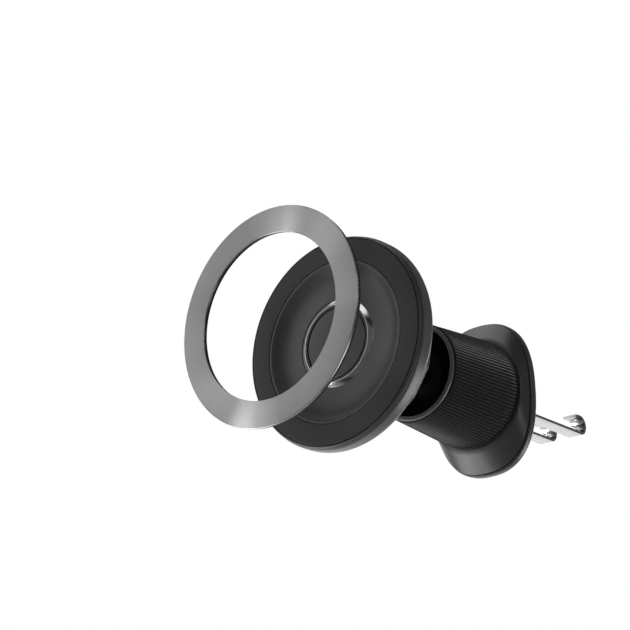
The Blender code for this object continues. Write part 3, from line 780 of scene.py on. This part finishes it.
def build_badge(settings, floor):
    """The chrome ring with its sloping side, and the plain button in its middle."""
    outer = reach("badge_ring")[2]
    top = floor - settings.height
    crest = outer - settings.bevel_width
    inner = crest - 0.2 * MM
    pocket = floor + 0.3 * MM
    corners = [
        (outer, pocket, 0),
        (outer, floor - 0.02 * MM, 0.05 * MM),
        (crest, top, 0.1 * MM),
        (inner, top, 0.1 * MM),
        (inner - 0.05 * MM, pocket, 0),
    ]
    chrome = polished_chrome("Chrome plating", settings.chrome_colour)
    keep(lathe("badge_bezel", corners), "head", ["badge_ring"], chrome)

    radius = inner - 0.18 * MM
    lip, groove, chamfer = 0.42 * MM, 0.55 * MM, 0.15 * MM
    button_top = top + 0.06 * MM
    corners = [
        (0, pocket, 0),
        (radius, pocket, 0),
        (radius, button_top, 0.08 * MM),
        (radius - lip, button_top, 0.08 * MM),
        (radius - lip, button_top + groove, 0),
        (radius - 2 * lip, button_top + groove, 0),
        (radius - 2 * lip, button_top + chamfer, 0.05 * MM),
        (radius - 2 * lip - chamfer, button_top, 0.05 * MM),
        (0, button_top, 0),
    ]
    satin = moulded_plastic("Satin button plastic", settings.disc_colour, 0.38, 0.5, 0.004)
    button = lathe("badge_button", corners, closed=False)
    keep(button, "head", ["badge_disc"], satin)


def build_shells(settings):
    """The thin bezel round the face, the side wall with its sloping back, and the cap."""
    build_front_shell(settings)
    build_rear_shell(settings)
    build_rear_cap(settings)


def build_front_shell(settings):
    front, post_end, outer = reach("front_shell")
    base = front + 1.25 * MM
    step_r, groove_r = 23.3 * MM, 29.36 * MM
    corners = [
        (0, base + 2.2 * MM, 0),
        (step_r + 0.6 * MM, base + 2.2 * MM, 0),
        (step_r + 0.6 * MM, base + 0.9 * MM, 0),
        (28.15 * MM, base + 0.9 * MM, 0),
        (28.15 * MM, base + 3.0 * MM, 0),
        (28.75 * MM, base + 3.0 * MM, 0),
        (28.75 * MM, base - 0.35 * MM, 0),
        (outer, base - 0.35 * MM, 0.08 * MM),
        (outer, base - 0.6 * MM, 0.15 * MM),
        (outer - 0.4 * MM, front, 0.15 * MM),
        (groove_r, front, 0.1 * MM),
        (groove_r, base - 0.75 * MM, 0),
        (27.4 * MM, base - 0.75 * MM, 0),
        (27.4 * MM, base - 0.1 * MM, 0),
        (step_r, base - 0.1 * MM, 0),
        (step_r, base + 1.2 * MM, 0),
        (0, base + 1.2 * MM, 0),
    ]
    shell = lathe("front_bezel_shell", corners, closed=False)
    posts = []
    for i in range(1, 5):
        spot = middle(f"cap_screw_{i}")
        posts.append(peg(f"post_{i}", 2.6 * MM, base + 1.7 * MM, post_end, spot.x, spot.z))
    shell = cut(shell, posts, "UNION")
    plastic = moulded_plastic("Satin bezel plastic", settings.bezel_colour, 0.42)
    keep(shell, "head", ["front_shell"], plastic)


def build_rear_shell(settings):
    front, rear, outer = reach("rear_shell")
    base = front + 0.1 * MM
    corners = [
        (21.5 * MM, rear, 0.2 * MM),
        (22.5 * MM, rear - 0.2 * MM, 0.4 * MM),
        (28.6 * MM, base + 5.3 * MM, 1.2 * MM),
        (outer - 0.45 * MM, base + 4.2 * MM, 0.5 * MM),
        (outer, base + 3.2 * MM, 0.9 * MM),
        (outer, base + 0.35 * MM, 0.3 * MM),
        (outer - 0.2 * MM, front, 0.12 * MM),
        (29.05 * MM, front, 0.1 * MM),
        (29.05 * MM, base + 3.4 * MM, 0),
        (28.0 * MM, base + 5.0 * MM, 0),
        (21.5 * MM, base + 7.2 * MM, 0),
    ]
    plastic = moulded_plastic("Satin wall plastic", settings.wall_colour, 0.34, 0.4, 0.006)
    keep(lathe("head_wall", corners), "head", ["rear_shell"], plastic)


def build_rear_cap(settings):
    """Sixteen flat sides, with sunk holes for the four screws."""
    front, rear, outer = reach("rear_cap")
    sides, bore, wall, skin = 16, 8.6 * MM, 2.2 * MM, 1.7 * MM
    corners = [
        (bore, rear, 0),
        (outer - 0.8 * MM, rear, 0),
        (outer, rear - 1.0 * MM, 0),
        (outer, front, 0),
        (outer - skin, front, 0),
        (outer - skin, rear - wall, 0),
        (bore, rear - wall, 0),
    ]
    cap = lathe("faceted_cap", corners, segments=sides)
    bevel = cap.modifiers.new("Round the edges", "BEVEL")
    bevel.width = settings.facet_bevel
    bevel.segments = 3
    bevel.limit_method = "ANGLE"
    bevel.angle_limit = math.radians(15)
    cap = plain(cap)
    tools = []
    for i in range(1, 5):
        spot = middle(f"cap_screw_{i}")
        tools.append(peg(f"hole_{i}", 1.45 * MM, rear - 3 * MM, rear + MM, spot.x, spot.z))
        tools.append(peg(f"sink_{i}", 2.8 * MM, rear - 1.2 * MM, rear + MM, spot.x, spot.z))
    cap = cut(cap, tools)
    plastic = moulded_plastic("Satin cap plastic", settings.cap_colour, 0.42)
    keep(cap, "head", ["rear_cap"], plastic)


# ------------------------------------------------------------------ screws


def screw_master(head_radius, head_height, shank_radius, length):
    """A pan-head screw at the origin, its head towards +Y, with a cross recess."""
    corners = [
        (0, head_height, 0),
        (head_radius * 0.75, head_height * 0.92, 0.4 * MM),
        (head_radius, head_height * 0.45, 0.3 * MM),
        (head_radius, 0, 0.05 * MM),
        (shank_radius, 0, 0),
        (shank_radius, -length, 0.2 * MM),
        (0, -length, 0),
    ]
    screw = lathe("screw_master", corners, closed=False, segments=36)
    arm, slot, depth = head_radius * 0.62, head_radius * 0.13, head_height * 0.75
    tools = []
    for wide, tall in ((arm, slot), (slot, arm)):
        low, high = head_height - depth, head_height + MM
        tools.append(window_tool("recess", 0.0, wide, tall, low, high, slot * 0.4))
    return cut(screw, tools)


def build_screws():
    """Two groups of screws, copied by a node tree on to the places of the CAD screws."""
    black_zinc = turned_metal("Black zinc plating", srgb("3c3c40"), 0.32)
    for group, body, prefix in (("cap_screws", "head", "cap"), ("base_screws", "base", "base")):
        names = [f"{prefix}_screw_{i}" for i in range(1, 5)]
        low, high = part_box(names[0])
        radius = (high.x - low.x) / 2
        head, shank_radius, length = 0.75 * MM, 1.1 * MM, 2.4 * MM
        master = screw_master(radius, head, shank_radius, length)
        places = [Vector((middle(n).x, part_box(n)[1].y - head, middle(n).z)) for n in names]
        made = copied(group, master, places, [1.0] * len(places), black_zinc)
        keep(made, body, names)


# ------------------------------------------------------------------ ball joint


def build_ball_joint(settings):
    """The turned stud and the collar in the knob's mouth."""
    front, rear, _ = reach("ball_stud")
    tilt = next(joint for joint in frame["joints"] if joint["name"] == "ball_tilt")
    ball_y = tilt["pos_m"][1]
    ball_r = rear - ball_y
    neck, thin = 6.05 * MM, 3.6 * MM
    bore, bore_end = 1.9 * MM, front + 7.2 * MM
    shoulder = reach("rear_cap")[1] + 0.6 * MM
    corners = [(0, rear, 0)]
    arc_steps = 28
    end = math.pi - math.asin(thin / ball_r)
    for k in range(1, arc_steps + 1):
        angle = end * k / arc_steps
        corners.append((ball_r * math.sin(angle), ball_y + ball_r * math.cos(angle), 0))
    corners += [
        (neck, ball_y - 15.0 * MM, 3.0 * MM),
        (neck, shoulder + 2.8 * MM, 0.6 * MM),
        (8.4 * MM, shoulder + 1.8 * MM, 0.4 * MM),
        (8.4 * MM, shoulder, 0.3 * MM),
        (neck, shoulder, 0),
        (neck, front, 0),
        (bore, front, 0),
        (bore, bore_end, 0),
        (0, bore_end, 0),
    ]
    # Black nylon, darkened further as painted shade inside the knob's mouth
    nylon = moulded_plastic("Matt black nylon", settings.stud_colour, 0.8, gloss=0.12)
    stud = lathe("ball_and_neck", corners, closed=False, segments=FINE_SEGMENTS)
    keep(stud, "stem", ["ball_stud"], nylon)

    front, rear, outer = reach("seat_retainer")
    edge = 0.35 * MM
    inner = 8.6 * MM
    corners = [(outer, rear, 0), (outer, front, edge)]
    corners += [(inner, front, 2 * edge), (inner, rear, edge)]
    # Black plastic, darkened further as painted shade inside the knob's mouth
    matt = moulded_plastic("Matt black collar", settings.collar_colour, 0.9, gloss=0.05)
    collar = lathe("mouth_collar", corners, segments=FINE_SEGMENTS)
    keep(collar, "base", ["seat_retainer"], matt)


# ------------------------------------------------------------------ knob


def build_knob(settings):
    """The ribbed sleeve, the smooth lip at its mouth and the black washer behind it."""
    front, rear, rear_r = reach("knob_sleeve")
    front_r, seat_r, bore_r = 14.75 * MM, 13.9 * MM, 12.95 * MM
    spigot_end = reach("knob_lip")[1] + 0.3 * MM
    nut_front = reach("knob_nut")[0] - 0.3 * MM
    nut_r = reach("knob_nut")[2] + 0.35 * MM
    rows = 10
    side_rear, side_front = rear - 0.75 * MM, front + 0.7 * MM
    side = []
    for k in range(rows + 1):
        t = k / rows
        y = side_rear + (side_front - side_rear) * t
        side.append((rear_r + (front_r - rear_r) * t, y, 0))
    corners = [(rear_r - 0.75 * MM, rear, 0.1 * MM)] + side
    corners += [
        (front_r - 0.06 * MM, front + 0.6 * MM, 0.05 * MM),
        (seat_r + 0.12 * MM, front + 0.6 * MM, 0),
        (seat_r + 0.12 * MM, front + 0.05 * MM, 0),
        (seat_r, front + 0.05 * MM, 0),
        (seat_r, spigot_end, 0),
        (bore_r, spigot_end, 0),
        (bore_r, nut_front, 0),
        (nut_r, nut_front, 0),
        (nut_r, rear, 0),
    ]
    ribs_from, ribs_to = front, rear - 0.7 * MM
    outside = front_r - 0.5 * MM

    def ribbed(point):
        return 1.0 if point.x > outside and ribs_from - 1e-6 <= point.y <= ribs_to else 0.0

    samples = 12
    sleeve = lathe("ribbed_sleeve", corners, segments=settings.rib_count * samples, mask=ribbed)
    # Near-black painted shade for the grooves and for the sleeve's unribbed shoulder, seat and bore
    groove_shade = srgb("060606")
    plastic = ribbed_plastic("Satin knob plastic", settings.sleeve_colour, groove_shade, 0.34, 0.36)
    values = {
        "Rib Count": settings.rib_count,
        "Rib Depth": settings.rib_depth,
        "Crest Share": 0.55,
        "Material": plastic,
    }
    sleeve = run_tree(sleeve, ribs_tree(), values)
    smooth(sleeve.data, 80)
    keep(sleeve, "knob", ["knob_sleeve"])

    washer_front = rear + 0.03 * MM
    front, rear, outer = reach("knob_lip")
    mouth, shelf = 13.0 * MM, reach("knob_sleeve")[0] - 0.1 * MM
    corners = [
        (outer, shelf, 0.1 * MM),
        (outer, front, 0.6 * MM),
        (mouth, front, 0.6 * MM),
        (mouth, rear, 0),
        (mouth + 0.6 * MM, rear, 0),
        (mouth + 0.6 * MM, shelf, 0),
    ]
    plastic = moulded_plastic("Smooth lip plastic", settings.lip_colour, 0.36, 0.4, 0.004)
    keep(lathe("knob_mouth_lip", corners), "knob", ["knob_lip"], plastic)

    outer = rear_r - 0.45 * MM
    front, rear = washer_front, reach("vent_plate")[0] - 0.03 * MM
    inner, edge = 14.9 * MM, 0.05 * MM
    corners = [(outer, rear, edge), (outer, front, edge), (inner, front, 0), (inner, rear, 0)]
    acetal = moulded_plastic("Black acetal", settings.washer_colour, 0.6)
    washer = lathe("knob_slip_washer", corners)
    keep(washer, "knob", ["slip_washer"], acetal)


# ------------------------------------------------------------------ vent plate


OUTLINE_POINTS = 144
RIM_EXPONENT = 2.44


def skirt_outline(y, share, inset=0.0):
    """The skirt's outline: share 0 is the circle at the knob and 1 the full rim."""
    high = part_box("vent_plate")[1]
    narrow = 17.2 * MM
    width = narrow + (17.0 * MM - narrow) * share - inset
    height = narrow + (high.z - narrow) * share - inset
    exponent = 2 + (RIM_EXPONENT - 2) * share
    return superellipse(width, height, exponent, y, OUTLINE_POINTS)


def build_skirt(settings):
    """The flared skirt: a circle at the knob that grows to a tall rounded outline."""
    low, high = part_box("vent_plate")
    front, rear = low.y, high.y
    full = rear - 0.8 * MM
    corner = 0.3 * MM
    hole = 14.4 * MM
    wall = 1.7 * MM
    sections = [skirt_outline(front, 0, corner), skirt_outline(front + 0.07 * MM, 0, corner * 0.4)]
    sections.append(skirt_outline(front + corner * 0.8, 0.03))
    steps = 12
    for k in range(1, steps + 1):
        t = k / steps
        sections.append(skirt_outline(front + (full - front) * t, t))
    for k in range(1, CORNER_STEPS + 1):
        angle = math.pi / 2 * k / CORNER_STEPS
        y = full + (rear - full) * math.sin(angle)
        sections.append(skirt_outline(y, 1, 0.7 * MM * (1 - math.cos(angle))))
    sections.append(skirt_outline(rear, 1, wall))
    web = front + 1.6 * MM
    for k in range(steps, 1, -1):
        t = k / steps
        y = max(web, front + (full - front) * t + 0.4 * MM)
        sections.append(skirt_outline(min(y, rear - 0.1 * MM), t, wall))
    sections.append(superellipse(hole, hole, 2, web, OUTLINE_POINTS))
    sections.append(superellipse(hole, hole, 2, front, OUTLINE_POINTS))
    skirt = loft("flared_skirt", sections, capped=False)
    plastic = moulded_plastic("Satin skirt plastic", settings.skirt_colour, 0.36, 0.4, 0.006)
    keep(skirt, "base", ["vent_plate"], plastic)


def rim_sections(node, insets):
    """Outlines of the rim at (y, inset) pairs."""
    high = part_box(node)[1]
    made = []
    for y, inset in insets:
        width, height = high.x - inset, high.z - inset
        made.append(superellipse(width, height, RIM_EXPONENT, y, OUTLINE_POINTS))
    return made


def edge_rounding(y, towards, radius):
    """(y, inset) pairs that round an edge, from the flat side to the face at y."""
    pairs = []
    for k in range(CORNER_STEPS + 1):
        angle = math.pi / 2 * k / CORNER_STEPS
        pairs.append((y - towards * radius * (1 - math.sin(angle)), radius * (1 - math.cos(angle))))
    return pairs


def window_tools(front, rear, margin):
    """One tool for each strip of the hook."""
    tools = []
    for node in ("prong_left", "prong_right"):
        low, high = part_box(node)
        half = (high.x - low.x) / 2 + margin
        tall = 3.35 * MM + margin
        tools.append(
            window_tool(node + "_window", (low.x + high.x) / 2, half, tall, front, rear, 0.6 * MM)
        )
    return tools


def build_back(settings):
    """The rim plate behind the dark groove, and the ribbed rubber pad on it."""
    low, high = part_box("back_plate")
    front, rear = low.y, high.y
    radius = 0.45 * MM
    pairs = edge_rounding(front, -1, radius)[::-1] + edge_rounding(rear, 1, radius)
    plate = loft("rim_plate", rim_sections("back_plate", pairs), capped=True)
    tools = window_tools(front - MM, rear + MM, 0.4 * MM)
    spots = [middle(f"base_screw_{i}") for i in range(1, 5)]
    for i, spot in enumerate(spots):
        tools.append(peg(f"hole_{i}", 1.45 * MM, front - MM, rear + MM, spot.x, spot.z))
        tools.append(peg(f"sink_{i}", 2.7 * MM, rear - 1.1 * MM, rear + MM, spot.x, spot.z))
    plate = cut(plate, tools)
    plastic = moulded_plastic("Satin rim plastic", settings.rim_colour, 0.36, 0.4, 0.006)
    keep(plate, "base", ["back_plate"], plastic)

    low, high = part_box("vent_pad")
    front, rear = low.y, high.y
    skin = rear - settings.pad_rib_height
    pairs = [(front, 0.0)] + edge_rounding(skin, 1, 0.2 * MM)
    pad = loft("rubber_pad", rim_sections("vent_pad", pairs), capped=True)
    tools = window_tools(front - MM, rear + MM, 0.6 * MM)
    for i, spot in enumerate(spots):
        tools.append(peg(f"clear_{i}", 2.9 * MM, front - MM, rear + MM, spot.x, spot.z))
    pad = cut(pad, tools)
    rubber = cellular_rubber("Moulded rubber", settings.pad_colour, 0.8, 0.25)
    keep(pad, "base", ["vent_pad"], rubber)
    build_pad_ribs(settings, high, skin, rear, rubber)


def build_pad_ribs(settings, high, skin, rear, rubber):
    """Short cross ribs on both sides of the pad's smooth middle, and a land at the centre."""
    pitch, spine, margin, first = settings.pad_rib_pitch, 3.6 * MM, 1.1 * MM, 5.4 * MM
    places, lengths = [], []
    count = int((high.z - margin - first) / pitch)
    for side in (-1, 1):
        for end in (-1, 1):
            for k in range(count + 1):
                z = first + pitch * k
                share = max(0.0, 1 - (z / high.z) ** RIM_EXPONENT) ** (1 / RIM_EXPONENT)
                reach_x = high.x * share - margin
                if reach_x - spine > 1.5 * MM:
                    places.append(Vector((side * (reach_x + spine) / 2, skin, end * z)))
                    lengths.append((reach_x - spine) / MM)
    bar_half = 0.35 * MM
    outline = [(-bar_half, -0.1 * MM), (bar_half, -0.1 * MM)]
    outline += [(bar_half * 0.7, rear - skin), (-bar_half * 0.7, rear - skin)]
    ends = [[Vector((x, y, z)) for z, y in outline] for x in (-0.5 * MM, 0.5 * MM)]
    master = loft("rib_master", ends, capped=True)
    ribs = copied("rubber_pad_ribs", master, places, lengths, rubber)
    keep(ribs, "base")


# ------------------------------------------------------------------ hook


def strip_path(node):
    """The middle line of a strip as (y, z): foot, straight run, half-round curl and lip."""
    low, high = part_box(node)
    thick = 0.9 * MM
    curl_r = 2.7 * MM
    foot_y = low.y + thick / 2
    run_z = low.z + thick / 2
    curl_y = high.y - thick / 2 - curl_r
    curl_z = run_z + curl_r
    bend = 1.2 * MM
    straight_steps, bend_steps, curl_steps = 6, 6, 24
    path = [(foot_y, high.z), (foot_y, run_z + bend * 2)]
    for k in range(bend_steps + 1):
        angle = math.radians(180 + 90 * k / bend_steps)
        path.append((foot_y + bend * (1 + math.cos(angle)), run_z + bend * (1 + math.sin(angle))))
    start_y = foot_y + bend
    for k in range(1, straight_steps):
        path.append((start_y + (curl_y - start_y) * k / straight_steps, run_z))
    for k in range(curl_steps + 1):
        angle = math.radians(-90 + 180 * k / curl_steps)
        path.append((curl_y + curl_r * math.cos(angle), curl_z + curl_r * math.sin(angle)))
    path.append((curl_y - 1.2 * MM, curl_z + curl_r - 0.05 * MM))
    path.append((curl_y - 2.4 * MM, curl_z + curl_r - 0.1 * MM))
    return path, thick


def build_hook(settings):
    """Two bent strips of spring steel, side by side."""
    steel = rolled_steel("Bright spring steel", settings.steel_colour, 0.2, grain_mm=0.3)
    for node in ("prong_left", "prong_right"):
        path, thick = strip_path(node)
        low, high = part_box(node)
        edge = settings.edge_radius
        half_w, half_t = (high.x - low.x) / 2, thick / 2
        x_mid = (low.x + high.x) / 2
        section = []
        for sx, st, start in ((1, 1, 0), (-1, 1, 90), (-1, -1, 180), (1, -1, 270)):
            for k in range(3):
                angle = math.radians(start + 45 * k)
                dx = sx * (half_w - edge) + edge * math.cos(angle)
                section.append((dx, st * (half_t - edge) + edge * math.sin(angle)))
        rings = []
        for i, (y, z) in enumerate(path):
            before, after = path[max(i - 1, 0)], path[min(i + 1, len(path) - 1)]
            along = Vector((after[0] - before[0], after[1] - before[1])).normalized()
            across = Vector((-along.y, along.x))
            ring = [(x_mid + dx, y + across.x * dt, z + across.y * dt) for dx, dt in section]
            rings.append(ring)
        strip = loft(node.replace("prong", "hook_strip"), rings, capped=True)
        smooth(strip.data, 40)
        keep(strip, "hook", [node], steel)


# ------------------------------------------------------------------ pieces that keep their shape


def dress_inside():
    """The pieces inside the mount keep their CAD shape and get their own finishes."""
    magnets = [f"magnet_{i:02d}" for i in range(1, 17)]
    dress(magnets, turned_metal("Nickel-plated magnet", srgb("c4c4c2"), 0.22))
    sheet = rolled_steel("Zinc-plated sheet", srgb("8c8e90"), 0.4, (30.0, 1.0, 1.0))
    dress(["steel_yoke", "stem_flange", "crosshead"], sheet)
    dress(["seat_spring"], rolled_steel("Blued spring steel", srgb("5c6066"), 0.3))
    dress(["rivet_left", "rivet_right"], turned_metal("Steel rivet", srgb("a8a8aa"), 0.3))
    dress(["stem_screw"], turned_metal("Black zinc screw", srgb("3c3c40"), 0.32))
    dress(["knob_nut"], turned_metal("Turned brass", srgb("b59a5a"), 0.3))
    dress(["spin_bush"], moulded_plastic("Natural acetal", srgb("d8d4c8"), 0.45, 0.6, 0.004))
    dress(["spin_washer"], cellular_rubber("Fibre washer", srgb("1c1c1c"), 0.75, 0.4))
    seat = moulded_plastic("Black acetal seat", srgb("040404"), 0.85, gloss=0.05)
    dress(["seat_front", "seat_rear"], seat)
    dress(["barrel"], moulded_plastic("Matt barrel plastic", srgb("060606"), 0.8, gloss=0.08))


# ------------------------------------------------------------------ stage


def camera_axes(azimuth, elevation):
    """The camera's right, up and backward directions."""
    level = math.cos(elevation)
    back = Vector((math.sin(azimuth) * level, -math.cos(azimuth) * level, math.sin(elevation)))
    right = Vector((math.cos(azimuth), math.sin(azimuth), 0))
    return right, back.cross(right), back


def build_camera(settings):
    """Looks up at the face from below and from the right."""
    right, up, back = camera_axes(settings.azimuth, settings.elevation)
    aim = VIEW_MIDDLE + right * settings.shift_right + up * settings.shift_up
    data = bpy.data.cameras.new("camera")
    data.lens, data.sensor_width = settings.lens, SENSOR_WIDTH_MM
    data.clip_start, data.clip_end = 0.01, 50.0
    camera = bpy.data.objects.new("camera", data)
    axes = Matrix((right, up, back)).transposed()
    axes = axes @ Matrix.Rotation(settings.roll, 3, "Z")
    camera.matrix_world = Matrix.Translation(aim + back * settings.distance) @ axes.to_4x4()
    bpy.context.scene.collection.objects.link(camera)
    bpy.context.scene.camera = camera


def build_world(brightness):
    """A white room to look at, whose own light on the mount is weak, so that cards shape it."""
    world = bpy.data.worlds.new("studio")
    bpy.context.scene.world = world
    world.use_nodes = True
    tree = world.node_tree
    tree.nodes.clear()
    seen = add(tree, "ShaderNodeBackground", {"Color": (1, 1, 1, 1), "Strength": 1.0})
    light = add(tree, "ShaderNodeBackground", {"Color": (1, 1, 1, 1), "Strength": brightness})
    path = add(tree, "ShaderNodeLightPath")
    inputs = {0: path.outputs["Is Camera Ray"], 1: light.outputs[0], 2: seen.outputs[0]}
    mixed = add(tree, "ShaderNodeMixShader", inputs)
    add(tree, "ShaderNodeOutputWorld", {0: mixed.outputs[0]})


def build_floor(settings):
    """A wide pale floor that looks evenly lit, and gives the mount little light."""
    bm = bmesh.new()
    bmesh.ops.create_grid(bm, x_segments=1, y_segments=1, size=FLOOR_HALF)
    floor = new_object("floor", bm)
    floor.location.z = FLOOR_Z
    material, tree, shader, place = new_material("Pale floor")
    inputs = {"Vector": place, "Scale": 1 / 300, "Detail": 1.0, "Roughness": NOISE_ROUGHNESS}
    shade = add(tree, "ShaderNodeTexNoise", inputs).outputs["Fac"]
    shader.inputs["Roughness"].default_value = 0.9
    seen = add(tree, "ShaderNodeEmission", {"Strength": 1.0})
    low, high = rgba(settings.floor_colour, 0.98), rgba(settings.floor_colour, 1.0)
    for socket in (shader.inputs["Base Color"], seen.inputs["Color"]):
        drive(tree, shade, socket, low, high)
    path = add(tree, "ShaderNodeLightPath")
    inputs = {0: path.outputs["Is Camera Ray"], 1: shader.outputs[0], 2: seen.outputs[0]}
    mixed = add(tree, "ShaderNodeMixShader", inputs)
    tree.links.new(mixed.outputs[0], tree.nodes["Material Output"].inputs["Surface"])
    floor.data.materials.append(material)


def soft_box(name, direction, distance, width, height, brightness):
    """A rectangular light of even brightness in this direction from the arm's middle."""
    data = bpy.data.lights.new(name, "AREA")
    data.shape = "RECTANGLE"
    data.size, data.size_y = width, height
    data.energy = math.pi * width * height * brightness
    light = bpy.data.objects.new(name, data)
    light.location = ARM_MIDDLE + Vector(direction).normalized() * distance
    facing = ARM_MIDDLE - light.location
    light.rotation_euler = facing.to_track_quat("-Z", "Y").to_euler()
    light.visible_camera = False
    bpy.context.scene.collection.objects.link(light)


def build_stage(settings):
    """Camera, pale floor and soft lights: a white backdrop behind, a key on the left."""
    view = bpy.context.scene.view_settings
    view.view_transform, view.look = "Standard", "None"
    build_camera(settings)
    build_world(settings.room_light)
    build_floor(settings)
    for name, light in SOFT_BOXES.items():
        soft_box(name, *light)


# ------------------------------------------------------------------ operators


class MOUNT_OT_loose_ring(bpy.types.Operator):
    """Make the loose steel ring and its foam"""

    bl_idname = "mount.loose_ring"
    bl_label = "Loose ring"

    def execute(self, context):
        build_loose_ring(context.scene.phone_mount.ring)
        return {"FINISHED"}


class MOUNT_OT_face(bpy.types.Operator):
    """Make the soft face and the dished disc"""

    bl_idname = "mount.face"
    bl_label = "Face"

    def execute(self, context):
        build_face(context.scene.phone_mount.face)
        return {"FINISHED"}


class MOUNT_OT_badge(bpy.types.Operator):
    """Make the chrome ring and its button"""

    bl_idname = "mount.badge"
    bl_label = "Badge"

    def execute(self, context):
        floor = reach("face_pad")[0] + context.scene.phone_mount.face.dish_depth
        build_badge(context.scene.phone_mount.badge, floor)
        return {"FINISHED"}


class MOUNT_OT_shells(bpy.types.Operator):
    """Make the head's bezel, wall and faceted cap"""

    bl_idname = "mount.shells"
    bl_label = "Head shells"

    def execute(self, context):
        build_shells(context.scene.phone_mount.shell)
        return {"FINISHED"}


class MOUNT_OT_screws(bpy.types.Operator):
    """Make the screws in the cap and in the vent plate"""

    bl_idname = "mount.screws"
    bl_label = "Screws"

    def execute(self, context):
        build_screws()
        return {"FINISHED"}


class MOUNT_OT_ball_joint(bpy.types.Operator):
    """Make the ball stud and the collar round it"""

    bl_idname = "mount.ball_joint"
    bl_label = "Ball joint"

    def execute(self, context):
        build_ball_joint(context.scene.phone_mount.joint)
        return {"FINISHED"}


class MOUNT_OT_knob(bpy.types.Operator):
    """Make the ribbed knob, its lip and its washer"""

    bl_idname = "mount.knob"
    bl_label = "Knob"

    def execute(self, context):
        build_knob(context.scene.phone_mount.knob)
        return {"FINISHED"}


class MOUNT_OT_vent_plate(bpy.types.Operator):
    """Make the skirt, the rim plate and the rubber pad"""

    bl_idname = "mount.vent_plate"
    bl_label = "Vent plate"

    def execute(self, context):
        build_skirt(context.scene.phone_mount.plate)
        build_back(context.scene.phone_mount.plate)
        return {"FINISHED"}


class MOUNT_OT_hook(bpy.types.Operator):
    """Make the two bent strips of the hook"""

    bl_idname = "mount.hook"
    bl_label = "Hook"

    def execute(self, context):
        build_hook(context.scene.phone_mount.hook)
        return {"FINISHED"}


class MOUNT_OT_inside(bpy.types.Operator):
    """Finish the pieces inside the mount"""

    bl_idname = "mount.inside"
    bl_label = "Inside pieces"

    def execute(self, context):
        dress_inside()
        return {"FINISHED"}


class MOUNT_OT_stage(bpy.types.Operator):
    """Make the camera, the floor and the lights"""

    bl_idname = "mount.stage"
    bl_label = "Stage"

    def execute(self, context):
        build_stage(context.scene.phone_mount.stage)
        return {"FINISHED"}


OPERATORS = (
    MOUNT_OT_stage,
    MOUNT_OT_loose_ring,
    MOUNT_OT_face,
    MOUNT_OT_badge,
    MOUNT_OT_shells,
    MOUNT_OT_screws,
    MOUNT_OT_ball_joint,
    MOUNT_OT_knob,
    MOUNT_OT_vent_plate,
    MOUNT_OT_hook,
    MOUNT_OT_inside,
)


class MOUNT_PT_parts(bpy.types.Panel):
    """Lists the mount's pieces"""

    bl_idname = "MOUNT_PT_parts"
    bl_label = "Phone mount"
    bl_space_type = "VIEW_3D"
    bl_region_type = "UI"
    bl_category = "Phone mount"

    def draw(self, context):
        for operator in OPERATORS:
            self.layout.operator(operator.bl_idname)


CLASSES = (
    RingSettings,
    FaceSettings,
    BadgeSettings,
    ShellSettings,
    JointSettings,
    KnobSettings,
    VentPlateSettings,
    HookSettings,
    StageSettings,
    MountSettings,
    *OPERATORS,
    MOUNT_PT_parts,
)


def register():
    for cls in CLASSES:
        bpy.utils.register_class(cls)
    bpy.types.Scene.phone_mount = PointerProperty(type=MountSettings)


def unregister():
    del bpy.types.Scene.phone_mount
    for cls in reversed(CLASSES):
        bpy.utils.unregister_class(cls)


def main():
    register()
    for operator in OPERATORS:
        group, name = operator.bl_idname.split(".")
        getattr(getattr(bpy.ops, group), name)()


if __name__ == "__main__":
    main()
